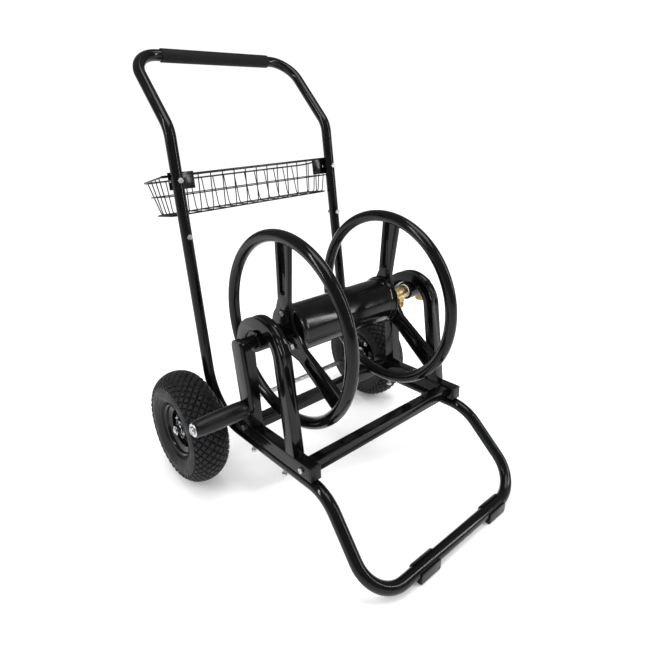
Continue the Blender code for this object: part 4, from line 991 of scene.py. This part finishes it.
for end, distance in CROSS_BOLTS.items():
    member = block(on_base(distance, RAIL_MIDDLE), (2 * cross_half, 0.025, 0.025), -BASE_RISE, 0.0020, 4)
    for sign in SIDES.values():
        mouth = on_base(distance, RAIL_MIDDLE, sign * (cross_half + 0.01))
        drill(member, mouth, on_base(distance, RAIL_MIDDLE, sign * (cross_half - 0.032)), BOLT_HOLE, 24)
        if end == "front":
            below, above = (on_base(distance, RAIL_MIDDLE + step, sign * 0.125) for step in (-0.03, 0.03))
            drill(member, below, above, 0.0042)
    finish(member, end + "_tie_tube", powder_coat, "frame", end + "_cross_member")

# %% [markdown]
# ## Feet and axle brackets
# Two moulded shoes snap under the front bar. A flat bracket with a round boss hangs from each base bend and
# takes the axle.

# %% Feet and axle brackets
SHOE_WALL, SOLE = 0.0032, 0.0001  # the sole stands 0.1 mm above the floor
bar_y = BENCH.y + BAR_Y
shoe_in, shoe_out = TUBE_RADIUS + GAP, TUBE_RADIUS + GAP + SHOE_WALL
front_of, back_of = bar_y - shoe_out, bar_y + shoe_out
shoe = arc(bar_y, BAR_Z, shoe_out, radians(65), 0, 12)
shoe += [(back_of, SHOE_WALL), (back_of - SHOE_WALL, SOLE)]
shoe += [(front_of + SHOE_WALL, SOLE), (front_of, SHOE_WALL)]
shoe += arc(bar_y, BAR_Z, shoe_out, radians(-180), radians(-200), 4)
shoe += arc(bar_y, BAR_Z, shoe_in, radians(-200), radians(65), 40)
for side, foot_x in zip(SIDES, (-0.095, 0.127)):
    foot = plate([shoe], 0.055, BENCH.x + foot_x, 0.0009, 2)
    finish(foot, side + "_shoe", black_plastic, "frame", side + "_foot")
half_bend = BASE_FORWARD.angle(UPRIGHT_UP) / 2
bend_centre = BASE_CORNER + (BASE_FORWARD + UPRIGHT_UP).normalized() * (BASE_BEND / sin(half_bend))
axle_angle = atan2(AXLE.z - bend_centre.z, AXLE.y - bend_centre.y)
weld_radius = BASE_BEND + TUBE_RADIUS + 0.0001
bracket_outline = arc(bend_centre.y, bend_centre.z, weld_radius, axle_angle + 0.24, axle_angle - 0.24, 24)
bracket_outline += arc(AXLE.y, AXLE.z, 0.015, axle_angle - pi / 2, axle_angle + pi / 2, 28)
for side, sign in SIDES.items():
    x = sign * HALF_WIDTH
    web = plate([bracket_outline], 0.006, BENCH.x + x, 0.0009, 2)
    drill(web, AXLE + sideways(x - 0.01), AXLE + sideways(x + 0.01), 0.0068)
    boss = ring_profile(0.0068, 0.0110, 0.0, WHEEL_X - HUB_HALF - SIDE_PLAY - HALF_WIDTH, 0.0006)
    boss = turned(boss, AXLE + sideways(x), (sign, 0, 0))
    finish(one_piece(web, boss), side + "_axle_hanger", powder_coat, "frame", side + "_axle_bracket")

# %% [markdown]
# ## Crank
# The crank is a flat bar with round ends. Its grip turns on a long bolt, with a washer under the bolt's
# slotted head. The grip is a lathe piece, fullest a third of the way out so that the hand finds its middle.

# %% Crank and grip
rest = radians(10.5)
crank_down = Vector((0, -sin(rest), -cos(rest)))
PIN = REEL + crank_down * 0.120
angle = atan2(crank_down.z, crank_down.y)
crank_outline = arc(REEL.y, REEL.z, 0.015, angle + pi / 2, angle + 3 * pi / 2, 32)
crank_outline += arc(PIN.y, PIN.z, 0.015, angle - pi / 2, angle + pi / 2, 32)
arm = plate([crank_outline], CRANK_THICKNESS, BENCH.x + CRANK_X, 0.0016, 4)
drill(arm, PIN + sideways(-0.29), PIN + sideways(-0.25), 0.0043)
finish(arm, "crank_bar", powder_coat, "reel", "crank_arm")
GRIP_LENGTH = 0.106
near = CRANK_X - CRANK_THICKNESS / 2 - SIDE_PLAY
grip_shape = ((0.0, 0.84), (0.012, 0.90), (0.03, 0.95), (0.12, 0.98), (0.25, 0.998), (0.35, 1.0))
grip_shape += ((0.5, 0.995), (0.65, 0.972), (0.75, 0.95), (0.86, 0.91), (0.96, 0.86))
grip_shape += ((0.985, 0.83), (1.0, 0.76))
swell = [(0.0175 * wide, -GRIP_LENGTH * share) for share, wide in grip_shape]
grip = turned([(0.0047, 0.0)] + swell + [(0.0047, -GRIP_LENGTH)], PIN + sideways(near), steps=96)
finish(grip, "crank_hand_grip", black_plastic, "crank_grip", "crank_grip", angle=30)
washer_x = near - GRIP_LENGTH - SIDE_PLAY
washer = ring_profile(0.0043, 0.0125, 0.0, -0.0018, 0.0004)
finish(turned(washer, PIN + sideways(washer_x)), "grip_end_washer", zinc_plate, "reel", "crank_grip_washer")
head_x = washer_x - 0.0018 - GAP
pin_length = CRANK_X + CRANK_THICKNESS / 2 - head_x
slotted = [(0.0, 0.0), (0.0075, 0.0), (0.0075, -0.0020), (0.0066, -0.0033), (0.0040, -0.0041), (0.0, -0.0042)]
slotted = turned(slotted, PIN + sideways(head_x))
screw_slot = block(PIN + sideways(head_x - 0.0042), (0.0032, 0.018, 0.0018), radians(35))
combine(slotted, screw_slot, operation="DIFFERENCE")
stem = screw_shank(-0.0005, pin_length + 0.001 + NUT_HEIGHT, 0.004, pin_length - 0.006)
stem = one_piece(stem, hexagon(pin_length + GAP, pin_length + GAP + NUT_HEIGHT, 0.0072))
stem.data.transform(Matrix.Translation(PIN + sideways(head_x)))
finish(one_piece(slotted, stem), "crank_grip_spindle", zinc_plate, "reel", "crank_grip_bolt")

# %% [markdown]
# ## Water fittings
# The outlet elbow turns with the reel, and its journal runs through the far bearing into the swivel inlet.
# Both are machined brass. Threads are ridges on the lathe profile, and the coupling nut has 28 ribs for the
# fingers.


# %% Brass pieces
def ridges(radius, start, end, pitch=0.0018, depth=0.0009):
    """The teeth of a thread along a lathe profile, from start to end."""
    way = 1 if end > start else -1
    count = int(abs(end - start) / pitch)
    profile = []
    for i in range(count):
        along = start + way * i * pitch
        profile.append((radius - depth, along))
        profile += [(radius, along + way * pitch * share) for share in (0.35, 0.6)]
    return profile


elbow_end = HALF_WIDTH - HOUSING_HALF - 0.0045
elbow_start = OUTLET_X - 0.0217
steps_out = ((0.0, 0), (0.0132, 0), (0.0142, 0.001), (0.0142, 0.0055), (0.0150, 0.0063))
body = [(radius, elbow_start + step) for radius, step in steps_out] + [(0.0150, elbow_end - 0.0008)]
body += [(0.0143, elbow_end), (0.0130, elbow_end), (0.0130, 0.2512), (0.0124, 0.252), (0.0, 0.252)]
elbow = turned(body, REEL)
leg_top = REEL + sideways(OUTLET_X)
leg = [(0.0, 0.0), (0.0119, 0.0), (0.0119, 0.0165), (0.0133, 0.0170), (0.0133, 0.0195), (0.0115, 0.0200)]
leg += ridges(0.0125, 0.0205, 0.0335)
leg += [(0.0113, 0.0350), (0.0078, 0.0350), (0.0075, 0.0346), (0.0075, 0.008), (0.0, 0.008)]
elbow = combine(elbow, turned(leg, leg_top, (0, 0, -1)))
drill(elbow, leg_top, leg_top - Vector((0, 0, 0.05)), 0.0074)
drill(elbow, leg_top - sideways(0.004), REEL + sideways(0.262), 0.0065)
finish(elbow, "outlet_elbow_fitting", turned_brass, "reel", "outlet_elbow")

washer_x = elbow_end + GAP
washer = ring_profile(0.0133, 0.016, washer_x, washer_x + 0.002, 0.0003)
finish(turned(washer, REEL), "nylon_thrust_washer", white_nylon, "reel", "thrust_washer")

start = HALF_WIDTH + HOUSING_HALF + 0.0022 + 3 * GAP
stop = start + 0.036
mid_x = stop - 0.0105 - 0.003
steps_out = [(0.0137, 0), (0.0163, 0), (0.0172, 0.0008), (0.0172, 0.0070), (0.0164, 0.0078), (0.0164, 0.0095)]
body = [(radius, start + step) for radius, step in steps_out + [(0.0172, 0.0103)]]
body += [(0.0172, stop - 0.0012), (0.0160, stop), (0.0, stop), (0.0, 0.253), (0.0137, 0.253)]
inlet = turned(body, REEL)
inlet_top = REEL + sideways(mid_x)
leg = [(0.0, 0.006), (0.0105, 0.006), (0.0105, 0.0235), (0.0122, 0.0237), (0.0123, 0.0240), (0.0123, 0.0257)]
leg += [(0.0120, 0.026), (0.0, 0.026)]
inlet = combine(inlet, turned(leg, inlet_top, (0, 0, -1)))
drill(inlet, inlet_top, inlet_top - Vector((0, 0, 0.06)), 0.0065)
finish(inlet, "swivel_inlet_fitting", turned_brass, "inlet_swivel", "inlet_swivel")

collar_high = REEL.z - 0.026 + 0.0025
top, floor_z = collar_high + 0.003 + SIDE_PLAY, collar_high + SIDE_PLAY
bottom = top - 0.016
nut = [(0.0112, top), (0.0150, top), (0.0159, top - 0.0010), (0.0159, bottom + 0.0010), (0.0150, bottom)]
nut += [(0.0138, bottom), (0.0135, bottom + 0.0006), (0.0135, floor_z), (0.0112, floor_z)]
axis_point = Vector((BENCH.x + mid_x, REEL.y, 0))
RIBS, RIB_HEIGHT = 28, 0.00028
nut = turned(nut, axis_point, (0, 0, 1), 8 * RIBS)
for vert in nut.data.vertices:
    out = Vector((vert.co.x - axis_point.x, vert.co.y - axis_point.y, 0))
    if out.length > 0.0155:
        vert.co += out.normalized() * RIB_HEIGHT * cos(RIBS * atan2(out.y, out.x))
finish(nut, "ribbed_coupling_nut", turned_brass, "inlet_coupling_nut", "inlet_coupling_nut", angle=25)

# %% [markdown]
# ## Basket
# The basket is welded wire hung behind the uprights on two small plates. A thick bar runs along the front of
# the rim, thinner wire makes the rim, a belt and a bottom hoop, and ribs of thin wire pass under it from
# front to back. Wires are rods along bent paths, laid out in the basket's own leaning frame.

# %% Basket
basket_origin = on_upright(BASKET_TOP, TUBE_RADIUS + GAP + 0.003 + GAP)
DEPTH, HEIGHT, HALF = 0.109, 0.088, 0.234
BAR, RIM_WIRE, HOOP_WIRE, THIN_WIRE = 0.0028, 0.0021, 0.0019, 0.0013  # radii
ROLL = tan(radians(1.2))  # wire sags: the basket hangs a little lower at the crank side
LONGER = 0.007  # the hand-bent hoops reach this much further at the crank side


def in_basket(x, back, up):
    return basket_origin + Vector((x, 0, x * ROLL)) + UPRIGHT_BACK * back + UPRIGHT_UP * up


def hoop(share, back_drop=0.0):
    """The level outline of the basket this share of the way down: square in front, round behind."""
    front = 0.0028 + 0.010 * share
    back = 0.0028 + DEPTH - 0.012 * share
    half = HALF - 0.014 * share
    up = -0.0028 - (HEIGHT - 0.0028) * share
    corners = [(-half - LONGER, front), (-half - LONGER, back), (half, back), (half, front)]
    return [in_basket(x, y, up - back_drop * max(0.0, (y - 0.03) / (back - 0.03))) for x, y in corners]


def wire(points, radii, radius):
    return rod(bent(points, radii, 8), radius, 12)


bar_ends = [in_basket(-HALF - LONGER - 0.001, BAR, -BAR), in_basket(HALF + 0.003, BAR, -BAR)]
wires = [wire(bar_ends, [], BAR), wire(hoop(0.0, 0.010), [0.014, 0.027], RIM_WIRE)]
for share, end_bend, radius in ((0.5, 0.026, THIN_WIRE), (1.0, 0.024, HOOP_WIRE)):
    corners = hoop(share)
    seam = (corners[3] + corners[0]) / 2
    path = bent([seam] + corners + [seam], [0.012, 0.014, end_bend, 0.012], 8)
    wires.append(rod(path[:-1], radius, 12, True))
bottom = -HEIGHT + 0.0012
RIBS_ACROSS, RIB_SPACING = 13, 0.031
for i in range(RIBS_ACROSS):
    x = (i - RIBS_ACROSS // 2) * RIB_SPACING
    points = [in_basket(x, 0.0046, -0.003), in_basket(x, 0.0128, bottom)]
    points += [in_basket(x, DEPTH - 0.0092, bottom), in_basket(x, DEPTH + 0.0018, -0.0125)]
    wires.append(wire(points, [0.009, 0.009], THIN_WIRE))
for sign, half in ((-1, HALF + LONGER), (1, HALF)):
    for i in range(4):
        # The last rib, by the back corner, stands further inward: at its foot on both ends of the basket, and
        # at its top only on the inlet side.
        last = i == 3
        back = 0.022 + 0.022 * i
        top_x = half - 0.0012 - (0.005 if last and sign > 0 else 0.0)
        upper = in_basket(sign * top_x, back, -0.003 - 0.010 * max(0, (back - 0.03) / 0.08))
        foot = 0.010 + back * 0.80
        lower = in_basket(sign * (half - (0.0195 if last else 0.0155)), foot, bottom)
        wires.append(wire([upper, lower, in_basket(sign * (half - 0.046), foot, bottom)], [0.008], THIN_WIRE))
basket = one_piece(wires[0], *wires[1:])
finish(basket, "welded_wire_basket", powder_coat, "frame", "wire_basket", angle=40)

for side, sign in SIDES.items():
    x = sign * (HALF_WIDTH - 0.016)
    middle = on_upright(BASKET_TOP - PLATE_DROP, TUBE_RADIUS + GAP + 0.0015, x)
    hanger = block(middle, (0.060, 0.003, 0.037), -UPRIGHT_LEAN, 0.0006, 2)
    seat = on_upright(BASKET_TOP - PLATE_DROP, 0.0, sign * HALF_WIDTH)
    drill(hanger, seat, seat + UPRIGHT_BACK * 0.03, BOLT_HOLE)
    finish(hanger, side + "_basket_plate", powder_coat, "frame", side + "_basket_bracket")
    rivet = [(0.0, 0.0003), (0.0036, 0.0003), (0.0031, -0.0012), (0.0018, -0.0021), (0.0, -0.0023)]
    for i, across in enumerate((0.0115, -0.0098)):
        spot = on_upright(BASKET_TOP - PLATE_DROP, TUBE_RADIUS + GAP, sign * (HALF_WIDTH - across))
        rivet_piece = turned(rivet, spot, UPRIGHT_BACK, 32)
        finish(rivet_piece, side + "_plate_rivet_%d" % (i + 1), zinc_plate, "frame")

# %% [markdown]
# ## Last steps
# The fastener patterns are taken away, and the size of the finished box is printed.

# %% Sizes
for shape in PATTERN_BOLTS.values():
    bpy.data.objects.remove(shape)
low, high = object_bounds()
print("final box, mm:", [round(1000 * v, 1) for v in high - low])
